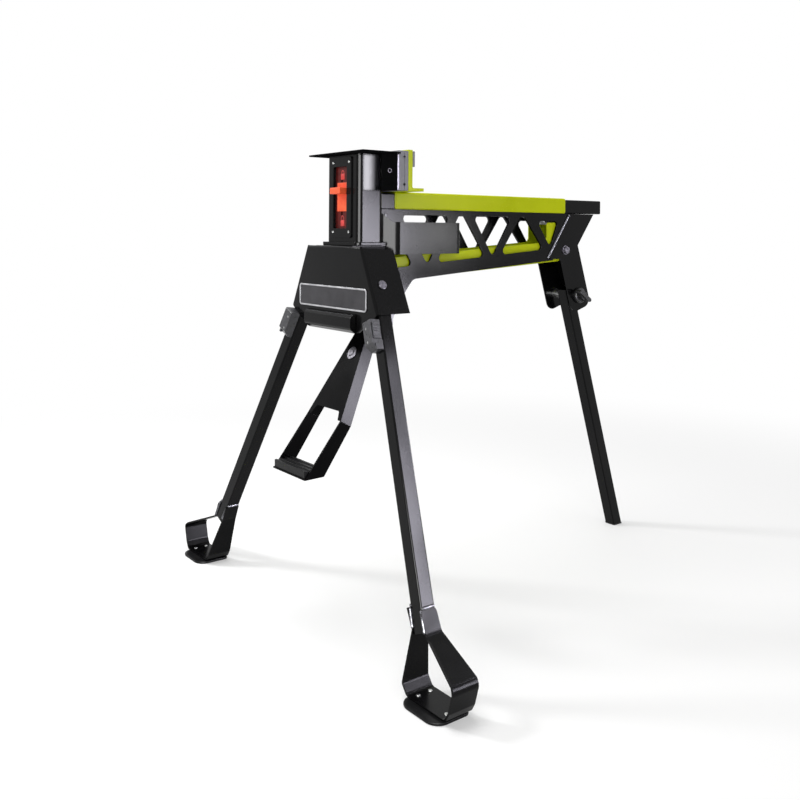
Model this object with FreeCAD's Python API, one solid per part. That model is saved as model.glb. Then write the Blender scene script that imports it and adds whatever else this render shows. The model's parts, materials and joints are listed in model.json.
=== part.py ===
import FreeCAD, Part
import math
import os

from FreeCAD import Vector

# Portable clamping workbench: a tripod stand whose long horizontal jaw is closed by a foot pedal.
# Millimetres. X runs across the bench, Y from the post at the front to the single leg at the rear, Z up
# from the floor. While the pieces are made, Y is zero at the front face of the post. At the end the whole
# bench is moved so that the middle of its footprint is the origin.

# Stance
splay = 24.6                    # degrees that a front leg leans outwards
toe_angle = 7.45                # degrees that a front leg leans forwards, in the plane of its flank
rear_lean = 17.3                # degrees that the rear leg leans backwards
leg_tube = 28.0                 # outside of the square leg tube
leg_wall = 1.8
leg_corner = 3.0
running = 0.05                  # radial clearance of a pin or bolt that something turns on
gap = 0.3                       # clearance between pieces that move past each other
over = 2.0                      # overrun of a cutting tool
corner_share = 0.48             # most of a side that one rounded corner may take
straight_share = 0.995          # a corner opened wider than this share of straight stays sharp
round_end_share = 0.98          # corner radius of a rounded end, as a share of its half width
head_round_share = 0.45         # rim radius of a round head, as a share of its height

# Post and top plate
post_half = 54.5
post_depth = 59.0
post_corner = 10.0
post_wall = 3.0
collar_lip = 8.0
collar_height = 7.0
collar_corner = 10.0
top_plate_thickness = 3.2
top_plate_half = 94.0
top_plate_front = 19.0          # how far the top plate reaches in front of the post
top_plate_rear = 71.0
top_plate_corner = 3.0
top_screw_radius = 4.5
top_screw_height = 1.6
top_screw_inset = 14.0

# Fixed jaw
jaw_half = 87.0
jaw_plate_thickness = 4.5
jaw_rise = 3.1                  # of the jaw's underside above the rail
jaw_height = 69.5               # from the jaw's underside to the top plate
jaw_wing_front = 31.0
jaw_wing_wall = 3.5
jaw_wing_hole = 3.2
jaw_wing_hole_rise = 37.0
jaw_block_half = 34.0
jaw_block_drop = 12.0
fixed_pad_thickness = 12.8
moving_pad_thickness = 9.3
pad_height = 76.5
pad_corner = 1.5
pad_groove = 3.2                # depth of the V grooves that hold a pipe
pad_groove_inset = 12.0
pad_bolt_radius = 5.0
pad_bolt_depth = 2.0
pad_bolt_reach = 52.0

# Lock switch on the post
bezel_left = -34.0
bezel_right = 33.0
bezel_drop = 4.5                # below the top plate
bezel_height = 156.0
bezel_thickness = 3.0
bezel_corner = 5.0
slot_left = -27.0
slot_right = 18.0
slot_drop = 19.0                # below the bezel's top
slot_height = 119.0
slot_corner = 3.0
switch_screw_radius = 2.4
switch_screw_height = 1.2
switch_screw_inset = 6.5
switch_screw_drop = 11.0
back_plate_thickness = 1.5
back_plate_lap = 4.0
slider_left = -18.5
slider_right = 16.0
slider_down = 26.5              # below and above the middle of the slot
slider_up = 29.0
slider_face = 0.5               # how far the slider lies behind the post's front face
slider_corner = 1.5
finger_bar_rise = 6.5           # above the middle of the slot
finger_bar_height = 12.5
finger_bar_reach = 17.0         # in front of the post
slider_travel = 28.0            # each way from the middle
neck_half_width = 2.0
neck_height = 12.0
neck_offset = -1.5
shuttle_thickness = 4.0
shuttle_half_width = 12.0
shuttle_half_height = 16.0

# Rail and saddle
rail_half = 35.1
rail_bottom = 766.4
rail_height = 31.5
rail_wall = 3.0
rail_rear = 719.0
rail_slot_half = 8.0
rail_corner = 3.0
saddle_wall = 2.5
saddle_side_gap = 0.4
saddle_top_gap = 0.4
saddle_front = 99.5
saddle_length = 495.0
saddle_corner = 4.0
jaw_plate_proud = 2.5           # how far the green jaw plate stands above its pad
moving_plate_thickness = 10.5
moving_flange_length = 28.0
moving_flange_thickness = 6.0
plate_web_half = 36.0
plate_web_height_share = 0.55
plate_web_reach_share = 0.9
rear_pad_thickness = 5.5
rear_pad_drop = 3.0
jaw_bolt_radius = 6.0
jaw_bolt_height = 4.0
jaw_bolt_spread = 24.0
drive_bar_half = 7.0
drive_bar_height = 8.0
drive_bar_rise = 10.0           # from the rail's underside to the bar
drive_lug_length = 9.0
drive_screw_radius = 5.0
drive_screw_height = 2.0
drive_screw_inset = 18.0        # from the saddle's rear end to its first screw
drive_screw_pitch = 36.0

# Truss side plates
truss_plate = 2.5
truss_lip = 5.0                 # depth of the folded lip round each window, from the outer face
truss_lip_wall = 2.0
truss_drop = 140.8              # height of the plate at truss_low_y
truss_low_y = 123.6
truss_slope = 0.0779
truss_rear_top = 622.0
truss_rear_bottom = 556.0
chord_top = 10.2
chord_bottom = 27.0
window_pitch = 180.0
window_first = 186.3            # middle of the first window that points down
window_down_half = 57.0
window_first_reach = 71.0
window_up_half = 68.0
window_up_tip = 7.0
window_vertex_rise = -3.0
window_corner = 8.0
window_front_limit = 76.0
front_window_rear = 148.0       # the cut-off window behind the post: foot of its sloping side
front_window_top = 735.0
front_window_top_rear = 92.0
last_window_front = 44.0
last_window_rear = 26.0
last_window_drop = 18.0
last_window_vertex = 79.0
cheek_front = 8.0
cheek_drop = 3.0                # below the housing's top
hanger_shoulder = 598.0
hanger_round = 20.0
gusset_y = 128.0
gusset_z = 602.0

# Pull yoke, the moving bar inside the truss, and its clutch
yoke_half = 29.5
yoke_wall = 2.5
yoke_low_y = 257.0
yoke_low_z = 635.5
yoke_slope = 0.0665
yoke_bar_height = 46.0
yoke_front = 96.0
yoke_rear = 584.0
yoke_upright_front = 540.0
yoke_upright_top = 745.0
yoke_tab_front = 62.0
yoke_tab_drop = 16.0
yoke_corner = 6.0
pin_slot_slack = 4.0
carrier_plate = 4.0
carrier_front = 546.0
carrier_length = 40.0
carrier_half = 14.0
carrier_head = 5.0
clutch_plate_thickness = 4.0
clutch_plate_gap = 2.0
clutch_plate_count = 3
glide_length = 30.0
glide_height = 12.0
glide_pitch_share = 1.5         # of the windows' pitch

# Housing at the top of the front legs
front_face = 22.4               # how far the housing's front stands ahead of the post
housing_wall = 2.5
housing_top = 695.0
housing_vertex = 573.0
housing_bottom = 535.0
housing_bottom_half = 88.0
housing_corner = 10.0
housing_fold = 5.0              # outside radius of the folds round the housing's front
flank_rear = 52.0
flank_top_drop = 8.0
lip_half = 81.0
lip_top = 570.5
lip_bottom = 533.0
lip_proud = 13.0
lip_round = 9.0
badge_half = 115.4
badge_top = 618.0
badge_bottom = 575.2
badge_thickness = 1.2
badge_corner = 6.5
cheek_wall = 3.0
cheek_rear = 44.0

# Front legs and feet
pivot_height = 617.8
pivot_y = 5.1
pivot_half = 108.3              # from the middle plane to the leg's axis, at the pivot
pivot_head_radius = 8.5
pivot_head_height = 3.5
pivot_radius = 5.0
pivot_nut_radius = 7.5
pivot_nut_height = 6.0
leg_top = 15.0                  # tube above the pivot
leg_end_height = 92.0
strap_thickness = 3.5
strap_bend = 9.0
strap_inner_top = 125.0
strap_outer_top = 130.0
strap_weld_low = 94.0
strap_low_front = -112.0
strap_low_rear = -61.0
strap_top_rear = -53.0
foot_sole = 5.0
foot_inner = 354.0
foot_inner_knee_in = 11.0
foot_inner_knee_height = 23.0
foot_width = 87.0
foot_outer_ankle_out = 8.0
foot_outer_ankle_height = 22.0
foot_outer_knee_out = 18.0
foot_outer_knee_height = 57.0
pad_inner_lap = 4.0
pad_outer_lap = 1.0
pad_front = -129.0
pad_rear = -59.0
pad_front_corner = 24.0
pad_rear_corner = 10.0
rivet_radius = 3.4
rivet_height = 1.4
rivet_spread = 12.0
rivet_inset = 10.0

# Leg latches
latch_width = 24.0
latch_depth = 21.0
latch_top = 65.5                # below the pivot, along the leg
latch_length = 56.0
latch_chin = 12.0
latch_chin_rise = 18.0
latch_chin_back = 6.0
latch_corner = 2.5
latch_button_length = 30.0
latch_button_width = 15.0
latch_button_proud = 2.0
latch_button_drop = 6.0
latch_press = 2.5
latch_rib_count = 5
latch_rib = 0.9
latch_screw_radius = 2.6
latch_screw_sink = 1.5
latch_screw_thickness = 0.9
latch_screw_shares = (0.25, 0.7)
latch_nut_radius = 5.0
latch_nut_height = 5.0

# Rear bracket and rear leg
bracket_wall = 3.0
bracket_top_front = 609.5
bracket_top_rear = 690.5
bracket_seam_front = 536.0
bracket_seam_height = 662.0
bracket_kink_y = 636.0
bracket_kink_z = 693.0
bracket_top_gap = 1.0
bracket_round = 33.0
bracket_end_corner = 20.0
rear_pivot_y = 640.0
rear_pivot_z = 576.0
rear_pivot_radius = 5.0
rear_leg_top = 16.0
rear_spacer_radius = 11.0
rear_plug_proud = 3.0
rear_plug_flange = 0.6
bracket_bolt_y = 593.0
bracket_bolt_z = 682.0
bracket_bolt_radius = 5.0
bracket_bolt_head = 8.5
bracket_bolt_head_height = 5.0
bracket_washer_radius = 10.5
bracket_washer = 1.6
knob_radius = 18.0
knob_thickness = 8.0
knob_hub_radius = 9.0
knob_hub_length = 10.0
knob_wing_length = 44.0
knob_wing_width = 9.0
knob_wing_depth = 14.0
knob_wing_turn = -35.0          # degrees

# Pedal
pedal_y = 78.4
pedal_z = 553.0
pedal_lean = 29.15              # degrees
pedal_swing = 26.0              # degrees that the pedal is pressed
pedal_depth = 26.0
pedal_wall = 2.5
pedal_neck_half = 17.5
pedal_neck = 30.0               # how far below the pivot the pedal starts to widen
pedal_taper = 0.2112
pedal_top = 14.0
pedal_length = 216.5
pedal_notch_half = 38.0
pedal_notch_rise = 17.0
pedal_pin_radius = 6.0
pedal_pin_head_radius = 8.4
pedal_arm_inner = 11.0
pedal_arm_outer = 15.0
pedal_arm_round = 13.0
lever_length = 60.0
lever_round = 9.0
lever_pin_radius = 4.0
pedal_boss_down = 85.0
pedal_boss_radius = 13.0
pedal_boss_height = 2.0
pedal_boss_bolt = 6.0
stirrup_wall = 3.0
stirrup_bottom_front = 33.0
stirrup_bottom_front_down = 340.0
stirrup_bottom_back = 3.0
stirrup_bottom_back_down = 319.0
tread_height = 12.0
tread_rib_count = 4
tread_rib_height = 1.6
tread_lap = 1.5
bumper_radius = 9.0
bumper_length = 12.0
bumper_inset = 16.0
spring_wire = 2.0
spring_turns = 4
spring_pitch = 4.2

# Carrying handle on one side of the truss
handle_stand = 26.0
handle_wall = 2.5
handle_front = 92.5
handle_rear = 245.0
handle_root_front = 62.0
handle_root_rear = 262.0
handle_top = 741.0
handle_bottom = 678.5
handle_lip = 7.0
handle_foot = 14.0
handle_rear_foot = 48.0         # the rear tab, turned forwards over the strut between two windows
handle_bend = 10.0
handle_curve = 12.0
handle_rise = 21.0
handle_bolt_radius = 4.5
handle_bolt_height = 3.0

nodes = {}


def rad(angle):
    return math.radians(angle)


def block(x0, x1, y0, y1, z0, z1):
    return Part.makeBox(x1 - x0, y1 - y0, z1 - z0, Vector(x0, y0, z0))


def rounded_face(points, radii):
    """A face with the given corners, each rounded by its radius."""
    count = len(points)
    if not isinstance(radii, (list, tuple)):
        radii = [radii] * count
    starts, ends, middles = [], [], []
    for i, corner in enumerate(points):
        back = points[i - 1] - corner
        ahead = points[(i + 1) % count] - corner
        reach = min(back.Length, ahead.Length) * corner_share
        back.normalize()
        ahead.normalize()
        half = back.getAngle(ahead) / 2
        if radii[i] <= 0 or half > math.pi / 2 * straight_share:
            starts.append(corner)
            ends.append(corner)
            middles.append(None)
            continue
        radius = min(radii[i], reach * math.tan(half))
        tangent = radius / math.tan(half)
        bisector = (back + ahead).normalize()
        starts.append(corner + back * tangent)
        ends.append(corner + ahead * tangent)
        middles.append(corner + bisector * (radius / math.sin(half) - radius))
    edges = []
    for i in range(count):
        if middles[i] is not None:
            edges.append(Part.Arc(starts[i], middles[i], ends[i]).toShape())
        following = starts[(i + 1) % count]
        if (following - ends[i]).Length > 1e-6:
            edges.append(Part.LineSegment(ends[i], following).toShape())
    return Part.Face(Part.Wire(edges))


def plate_yz(points, radii, x0, x1):
    """A plate whose outline is given by Y and Z, from x0 to x1."""
    return rounded_face([Vector(x0, y, z) for y, z in points], radii).extrude(Vector(x1 - x0, 0, 0))


def plate_xz(points, radii, y0, y1):
    """A plate whose outline is given by X and Z, from y0 to y1."""
    return rounded_face([Vector(x, y0, z) for x, z in points], radii).extrude(Vector(0, y1 - y0, 0))


def plate_xy(points, radii, z0, z1):
    """A plate whose outline is given by X and Y, from z0 to z1."""
    return rounded_face([Vector(x, y, z0) for x, y in points], radii).extrude(Vector(0, 0, z1 - z0))


def rectangle(a0, a1, b0, b1):
    return [(a0, b0), (a1, b0), (a1, b1), (a0, b1)]


def offset_path(path, distance, closed=False):
    """The path moved sideways, to its left, with mitred corners."""
    moved = []
    count = len(path)
    for i, point in enumerate(path):
        normals = []
        if closed or i > 0:
            normals.append(unit_normal(path[i - 1], point))
        if closed or i < count - 1:
            normals.append(unit_normal(point, path[(i + 1) % count]))
        nx = sum(n[0] for n in normals) / len(normals)
        ny = sum(n[1] for n in normals) / len(normals)
        size = nx * nx + ny * ny
        moved.append((point[0] + nx / size * distance, point[1] + ny / size * distance))
    return moved


def unit_normal(start, end):
    dx, dy = end[0] - start[0], end[1] - start[1]
    size = math.hypot(dx, dy)
    return (-dy / size, dx / size)


def bent_strip(path, thickness, bend):
    """Outline of a bent strip, and the radius of each of its corners."""
    left = offset_path(path, thickness)
    radii = []
    for side, points in ((0, left), (1, path)):
        for i in range(len(points)):
            inner = 0 if i in (0, len(points) - 1) else bend
            if inner:
                before, here, after = path[i - 1], path[i], path[i + 1]
                first = (here[0] - before[0], here[1] - before[1])
                second = (after[0] - here[0], after[1] - here[1])
                turn = first[0] * second[1] - first[1] * second[0]
                outside = (turn > 0) == (side == 1)
                inner = bend + thickness if outside else bend
            radii.append(inner)
    half = len(path)
    return left + path[::-1], radii[:half] + radii[half:][::-1]


def rod(start, end, radius):
    axis = end - start
    return Part.makeCylinder(radius, axis.Length, start, axis)


def domed_head(base, axis, radius, height):
    """A round head with a soft rim, standing on its base."""
    head = Part.makeCylinder(radius, height, base, axis)
    rim = [edge for edge in head.Edges if (edge.CenterOfMass - base).dot(axis) > height / 2
           and edge.Curve.TypeId == "Part::GeomCircle"]
    return head.makeFillet(height * head_round_share, rim)


def hexagon(base, axis, radius, height):
    side = Vector(1, 0, 0) if abs(axis.y) > abs(axis.x) else Vector(0, 1, 0)
    first = axis.cross(side).normalize()
    second = axis.cross(first).normalize()
    corners = [base + first * (radius * math.cos(rad(60 * i))) + second * (radius * math.sin(rad(60 * i)))
               for i in range(6)]
    return rounded_face(corners, 0).extrude(axis * height)


def fold_cutter(corner, out, ahead, along, length, radius):
    """What a fold of the given radius takes off a sharp edge that starts at a corner."""
    centre = corner - (out + ahead) * radius
    side = radius + over
    points = [centre, centre + out * side, centre + (out + ahead) * side, centre + ahead * side]
    bar = rounded_face(points, 0).extrude(along * length)
    return bar.cut(rod(centre - along * over, centre + along * (length + over), radius))


def mirrored(shape):
    return shape.mirror(Vector(0, 0, 0), Vector(1, 0, 0))


def joined(shapes):
    return shapes[0].multiFuse(shapes[1:]).removeSplitter() if len(shapes) > 1 else shapes[0]


def add(name, *shapes):
    nodes[name] = Part.makeCompound(list(shapes)) if len(shapes) > 1 else shapes[0]


def add_pair(name, right_shapes):
    """The same pieces on both sides, in a node for each side."""
    add(name + "_right", *right_shapes)
    add(name + "_left", *[mirrored(shape) for shape in right_shapes])


# Directions of a front leg on the +X side
flank_normal = Vector(math.cos(rad(splay)), 0, math.sin(rad(splay)))
fall = Vector(math.sin(rad(splay)), 0, -math.cos(rad(splay)))
leg_down = fall * math.cos(rad(toe_angle)) + Vector(0, -math.sin(rad(toe_angle)), 0)
leg_up = leg_down * -1
leg_rear = leg_up.cross(flank_normal)
pivot = Vector(pivot_half, pivot_y, pivot_height)
leg_half = leg_tube / 2
flank_inner = leg_half + gap * 2                        # from the leg's axis to the flank's inner face
flank_outer = flank_inner + housing_wall


def leg_axis_at(height):
    return pivot + leg_down * ((pivot_height - height) / -leg_down.z)


def in_leg_frame(shape):
    """Moves a shape made with X outwards, Y to the rear and Z up the leg, about the pivot."""
    matrix = FreeCAD.Matrix(flank_normal.x, leg_rear.x, leg_up.x, pivot.x,
                            flank_normal.y, leg_rear.y, leg_up.y, pivot.y,
                            flank_normal.z, leg_rear.z, leg_up.z, pivot.z,
                            0, 0, 0, 1)
    moved = shape.copy()
    moved.Placement = FreeCAD.Placement(matrix).multiply(moved.Placement)
    return moved


def flank_x(height, offset):
    """X of the plane that lies an offset outside the leg's axis, at a height."""
    return pivot_half + (pivot_height - height) * math.tan(rad(splay)) + offset / math.cos(rad(splay))


def truss_bottom(y):
    return rail_bottom - truss_drop + (y - truss_low_y) * truss_slope


def yoke_bottom(y):
    return yoke_low_z + (y - yoke_low_y) * yoke_slope


# Post, collar, top plate and fixed jaw

rail_top = rail_bottom + rail_height
jaw_bottom = rail_top + jaw_rise
top_plate_under = jaw_bottom + jaw_height
top_plate_height = top_plate_under + top_plate_thickness
pad_top = jaw_bottom + pad_height
bezel_high = top_plate_under - bezel_drop
bezel_low = bezel_high - bezel_height
slot_high = bezel_high - slot_drop
slot_low = slot_high - slot_height
slot_middle = (slot_low + slot_high) / 2
jaw_rear = top_plate_rear
jaw_back = jaw_rear - jaw_plate_thickness
bezel_front = -bezel_thickness
post_screws = []
jaw_screws = []
frame_bolts = []


def make_post():
    bottom = housing_top + collar_height
    outer = plate_xy(rectangle(-post_half, post_half, 0, post_depth), post_corner, bottom, top_plate_under)
    inner_half = post_half - post_wall
    inner = plate_xy(rectangle(-inner_half, inner_half, post_wall, post_depth - post_wall),
                     post_corner - post_wall, housing_top - over, top_plate_under + over)
    window = plate_xz(rectangle(slot_left, slot_right, slot_low, slot_high), slot_corner,
                      -over, post_wall + over)
    add("post", outer.cut(inner).cut(window))
    reach = post_half + collar_lip
    collar = plate_xy(rectangle(-reach, reach, -collar_lip, post_depth), [collar_corner, collar_corner, 0, 0],
                      housing_top, bottom)
    add("post_collar", collar.cut(inner))


def make_top_plate():
    top = plate_xy(rectangle(-top_plate_half, top_plate_half, -top_plate_front, top_plate_rear),
                   top_plate_corner, top_plate_under, top_plate_height)
    add("top_plate", top)
    for side in (-1, 1):
        for y in (top_screw_inset, post_depth - top_screw_inset):
            base = Vector(side * (post_half - top_screw_inset), y, top_plate_height)
            post_screws.append(domed_head(base, Vector(0, 0, 1), top_screw_radius, top_screw_height))


def make_fixed_jaw():
    back = block(-jaw_half, jaw_half, jaw_back, jaw_rear, jaw_bottom, top_plate_under)
    wings = []
    for side in (-1, 1):
        inner, outer = sorted((side * (jaw_half - jaw_wing_wall), side * jaw_half))
        wing = block(inner, outer, jaw_wing_front, jaw_rear, jaw_bottom, top_plate_under)
        hole_y = (jaw_wing_front + jaw_back) / 2
        hole = rod(Vector(inner - over, hole_y, jaw_bottom + jaw_wing_hole_rise),
                   Vector(outer + over, hole_y, jaw_bottom + jaw_wing_hole_rise), jaw_wing_hole)
        wings.append(wing.cut(hole))
    support = block(-jaw_block_half, jaw_block_half, post_depth, jaw_back,
                    jaw_bottom, top_plate_under - jaw_block_drop)
    add("fixed_jaw_bracket", joined([back] + wings + [support]))


def grooved_pad(face_y, direction, thickness):
    """A jaw pad from its back to its gripping face, with a V groove near each end of the face."""
    back_y = face_y - direction * thickness
    y0, y1 = sorted((back_y, face_y))
    pad = plate_xz(rectangle(-jaw_half, jaw_half, jaw_bottom, pad_top), pad_corner, y0, y1)
    for height in (jaw_bottom + pad_groove_inset, pad_top - pad_groove_inset):
        points = [(face_y + direction * pad_groove, height - pad_groove * 2),
                  (face_y + direction * pad_groove, height + pad_groove * 2),
                  (face_y - direction * pad_groove, height)]
        pad = pad.cut(plate_yz(points, 0, -jaw_half - over, jaw_half + over))
    return pad


pad_seam = jaw_rear + fixed_pad_thickness
moving_face = pad_seam + gap
moving_back = moving_face + moving_pad_thickness
green_back = moving_back + moving_plate_thickness


def make_pads():
    add("fixed_jaw_pad", grooved_pad(pad_seam, 1, fixed_pad_thickness))
    add("moving_jaw_pad", grooved_pad(moving_face, -1, moving_pad_thickness))
    for side in (-1, 1):
        base = Vector(side * pad_bolt_reach, jaw_back, (jaw_bottom + pad_top) / 2)
        post_screws.append(domed_head(base, Vector(0, -1, 0), pad_bolt_radius, pad_bolt_depth))


# Lock switch

def make_switch():
    bezel = plate_xz(rectangle(bezel_left, bezel_right, bezel_low, bezel_high), bezel_corner, bezel_front, 0)
    slot = plate_xz(rectangle(slot_left, slot_right, slot_low, slot_high), slot_corner,
                    bezel_front - over, over)
    add("switch_bezel", bezel.cut(slot))
    for x in (bezel_left + switch_screw_inset, bezel_right - switch_screw_inset):
        for z in (bezel_low + switch_screw_drop, bezel_high - switch_screw_drop):
            post_screws.append(domed_head(Vector(x, bezel_front, z), Vector(0, -1, 0),
                                          switch_screw_radius, switch_screw_height))

    back_front = post_wall
    back_rear = back_front + back_plate_thickness
    neck_x = (slot_left + slot_right) / 2 + neck_offset
    neck_reach = slider_travel + neck_height / 2 + gap
    plate = block(slot_left - back_plate_lap, slot_right + back_plate_lap, back_front, back_rear,
                  slot_low - back_plate_lap, slot_high + back_plate_lap)
    track = block(neck_x - neck_half_width - gap, neck_x + neck_half_width + gap, back_front - over,
                  back_rear + over, slot_middle - neck_reach, slot_middle + neck_reach)
    add("switch_back_plate", plate.cut(track))

    slider_outline = rectangle(slider_left, slider_right, slot_middle - slider_down, slot_middle + slider_up)
    face = plate_xz(slider_outline, slider_corner, slider_face, back_front - gap)
    bar_low = slot_middle + finger_bar_rise
    bar = plate_yz(rectangle(-finger_bar_reach, slider_face + gap, bar_low, bar_low + finger_bar_height),
                   [slider_corner, 0, 0, slider_corner], slider_left, slider_right)
    neck = block(neck_x - neck_half_width, neck_x + neck_half_width, slider_face, back_rear + gap,
                 slot_middle - neck_height / 2, slot_middle + neck_height / 2)
    add("lock_slider", joined([face, bar, neck]))
    shuttle = block(neck_x - shuttle_half_width, neck_x + shuttle_half_width, back_rear + gap,
                    back_rear + gap + shuttle_thickness, slot_middle - shuttle_half_height,
                    slot_middle + shuttle_half_height)
    add("lock_shuttle", shuttle)


# Rail, saddle, moving jaw and drive bar

drive_bar_bottom = rail_bottom + drive_bar_rise
drive_bar_top = drive_bar_bottom + drive_bar_height
saddle_top = rail_top + saddle_top_gap + saddle_wall
saddle_half = rail_half + saddle_side_gap + saddle_wall
saddle_rear = saddle_front + saddle_length
carrier_rear = carrier_front + carrier_length
yoke_stroke = 2 * lever_length * math.sin(rad(pedal_swing / 2))


def make_rail():
    outer = plate_xz(rectangle(-rail_half, rail_half, rail_bottom, rail_top), rail_corner,
                     post_depth, rail_rear)
    inner = block(-rail_half + rail_wall, rail_half - rail_wall, post_depth - over, rail_rear + over,
                  rail_bottom + rail_wall, rail_top - rail_wall)
    slot = block(-rail_slot_half, rail_slot_half, saddle_front - drive_lug_length, rail_rear + over,
                 rail_top - rail_wall - over, rail_top + over)
    window = block(-carrier_half - over, carrier_half + over, carrier_front - yoke_stroke - over,
                   carrier_rear + over, rail_bottom - over, rail_bottom + rail_wall + over)
    add("rail", outer.cut(inner).cut(slot).cut(window))


def make_saddle():
    side = plate_yz(rectangle(saddle_front, saddle_rear, rail_bottom, saddle_top),
                    saddle_corner, -saddle_half, saddle_half)
    long_edges = [edge for edge in side.Edges if edge.Length > saddle_length - 3 * saddle_corner
                  and edge.CenterOfMass.z > rail_top]
    side = side.makeFillet(saddle_corner, long_edges)
    inside = block(-saddle_half + saddle_wall, saddle_half - saddle_wall, saddle_front - over,
                   saddle_rear + over, rail_bottom - over, saddle_top - saddle_wall)
    add("saddle", side.cut(inside))


def make_moving_jaw():
    top = pad_top + jaw_plate_proud
    bend = moving_flange_thickness / 2
    flange_end = green_back + moving_flange_length
    profile = [(moving_back, top), (moving_back, saddle_top), (flange_end, saddle_top),
               (flange_end, saddle_top + moving_flange_thickness),
               (green_back, saddle_top + moving_flange_thickness), (green_back, top)]
    radii = [0, bend, 0, 0, bend, 0]
    plate = plate_yz(profile, radii, -jaw_half, jaw_half)
    web_height = (top - saddle_top) * plate_web_height_share
    web_low = saddle_top + moving_flange_thickness - over
    web_rear = green_back + moving_flange_length * plate_web_reach_share
    for side in (-1, 1):
        x0, x1 = sorted((side * plate_web_half, side * (plate_web_half - moving_flange_thickness)))
        web = plate_yz([(green_back - over, web_low), (web_rear, web_low),
                        (green_back - over, saddle_top + web_height)], 0, x0, x1)
        plate = plate.fuse(web)
    add("jaw_plate", plate.removeSplitter())
    strip = plate_xz(rectangle(-jaw_half, jaw_half, saddle_top + web_height + rear_pad_drop, pad_top),
                     pad_corner, green_back, green_back + rear_pad_thickness)
    add("rear_jaw_pad", strip)
    for side in (-1, 1):
        base = Vector(side * jaw_bolt_spread, green_back + moving_flange_length / 2,
                      saddle_top + moving_flange_thickness)
        jaw_screws.append(hexagon(base, Vector(0, 0, 1), jaw_bolt_radius, jaw_bolt_height))


def make_drive_bar():
    bar = block(-drive_bar_half, drive_bar_half, saddle_front, saddle_rear, drive_bar_bottom, drive_bar_top)
    lug_half = min(rail_slot_half - gap * 3, drive_bar_half)
    lugs = []
    for y in (saddle_front, saddle_rear - drive_lug_length):
        lugs.append(block(-lug_half, lug_half, y, y + drive_lug_length,
                          drive_bar_top, saddle_top - saddle_wall))
    add("drive_bar", joined([bar] + lugs))
    for y in (saddle_rear - drive_screw_inset, saddle_rear - drive_screw_inset - drive_screw_pitch):
        jaw_screws.append(domed_head(Vector(0, y, saddle_top), Vector(0, 0, 1),
                                     drive_screw_radius, drive_screw_height))


# Truss side plates, with the lipped windows

def window_polygons():
    """Corners of each window, by Y and Z, going round."""
    top = rail_bottom - chord_top
    windows = []

    def chord(y):
        return truss_bottom(y) + chord_bottom

    for i in range(2):
        middle = window_first + i * window_pitch
        reach = window_first_reach if i == 0 else window_down_half
        windows.append([(middle - reach, top), (middle, chord(middle) + window_vertex_rise),
                        (middle + window_down_half, top)])
    windows.append([(window_front_limit, chord(window_front_limit)),
                    (front_window_rear, chord(front_window_rear)),
                    (front_window_top_rear, front_window_top), (window_front_limit, front_window_top)])
    for i in range(2):
        middle = window_first + (i + 0.5) * window_pitch
        low, high = middle - window_up_half, middle + window_up_half
        windows.append([(low, chord(low)), (high, chord(high)), (middle + window_up_tip, top),
                        (middle - window_up_tip, top)])
    middle = window_first + 2 * window_pitch
    last_top = rail_bottom - last_window_drop
    windows.append([(middle - last_window_front, last_top), (middle, rail_bottom - last_window_vertex),
                    (middle + last_window_rear, last_top)])
    return windows


def strut_middle(height):
    """Y of the middle of the strut behind the first window that points down, at a height."""
    next_window = window_first + window_pitch / 2
    low = (window_first + next_window - window_up_half) / 2
    high = (window_first + window_down_half + next_window - window_up_tip) / 2
    bottom, top = truss_bottom(low) + chord_bottom, rail_bottom - chord_top
    return low + (high - low) * (height - bottom) / (top - bottom)


def make_truss():
    outline = [(post_depth, rail_bottom), (truss_rear_top, rail_bottom),
               (truss_rear_bottom, truss_bottom(truss_rear_bottom)),
               (gusset_y + hanger_round, truss_bottom(gusset_y + hanger_round)), (gusset_y, gusset_z),
               (pedal_y + hanger_round, pedal_z), (pedal_y + hanger_round, pedal_z - hanger_round),
               (pedal_y - hanger_round, pedal_z - hanger_round), (pedal_y - hanger_round, pedal_z),
               (cheek_front, hanger_shoulder), (cheek_front, housing_top - cheek_drop),
               (post_depth, housing_top - cheek_drop)]
    radii = [0, 0, 0, hanger_round, hanger_round / 2, hanger_round, hanger_round, hanger_round,
             hanger_round, hanger_round / 2, 0, 0]
    plate = plate_yz(outline, radii, rail_half - truss_plate, rail_half)
    lip_inner = rail_half - truss_lip
    lips, holes = [], []
    for points in window_polygons():
        if polygon_area(points) < 0:
            points = points[::-1]
        rim = offset_path(points, -truss_lip_wall, closed=True)
        lips.append(plate_yz(rim, window_corner + truss_lip_wall, lip_inner, rail_half))
        holes.append(plate_yz(points, window_corner, lip_inner - over, rail_half + over))
    plate = plate.multiFuse(lips)
    for hole in holes:
        plate = plate.cut(hole)
    pin_hole = rod(Vector(0, pedal_y, pedal_z), Vector(rail_half * 2, pedal_y, pedal_z), pedal_pin_radius)
    add_pair("truss_plate", [plate.cut(pin_hole).removeSplitter()])


def polygon_area(points):
    total = 0
    for i, (x, y) in enumerate(points):
        before = points[i - 1]
        total += (before[0] * y - x * before[1]) / 2
    return total


# Pull yoke and clutch

lever_pin_y = pedal_y + lever_length * math.sin(rad(pedal_swing / 2))
lever_pin_z = pedal_z + lever_length * math.cos(rad(pedal_swing / 2))


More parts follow.
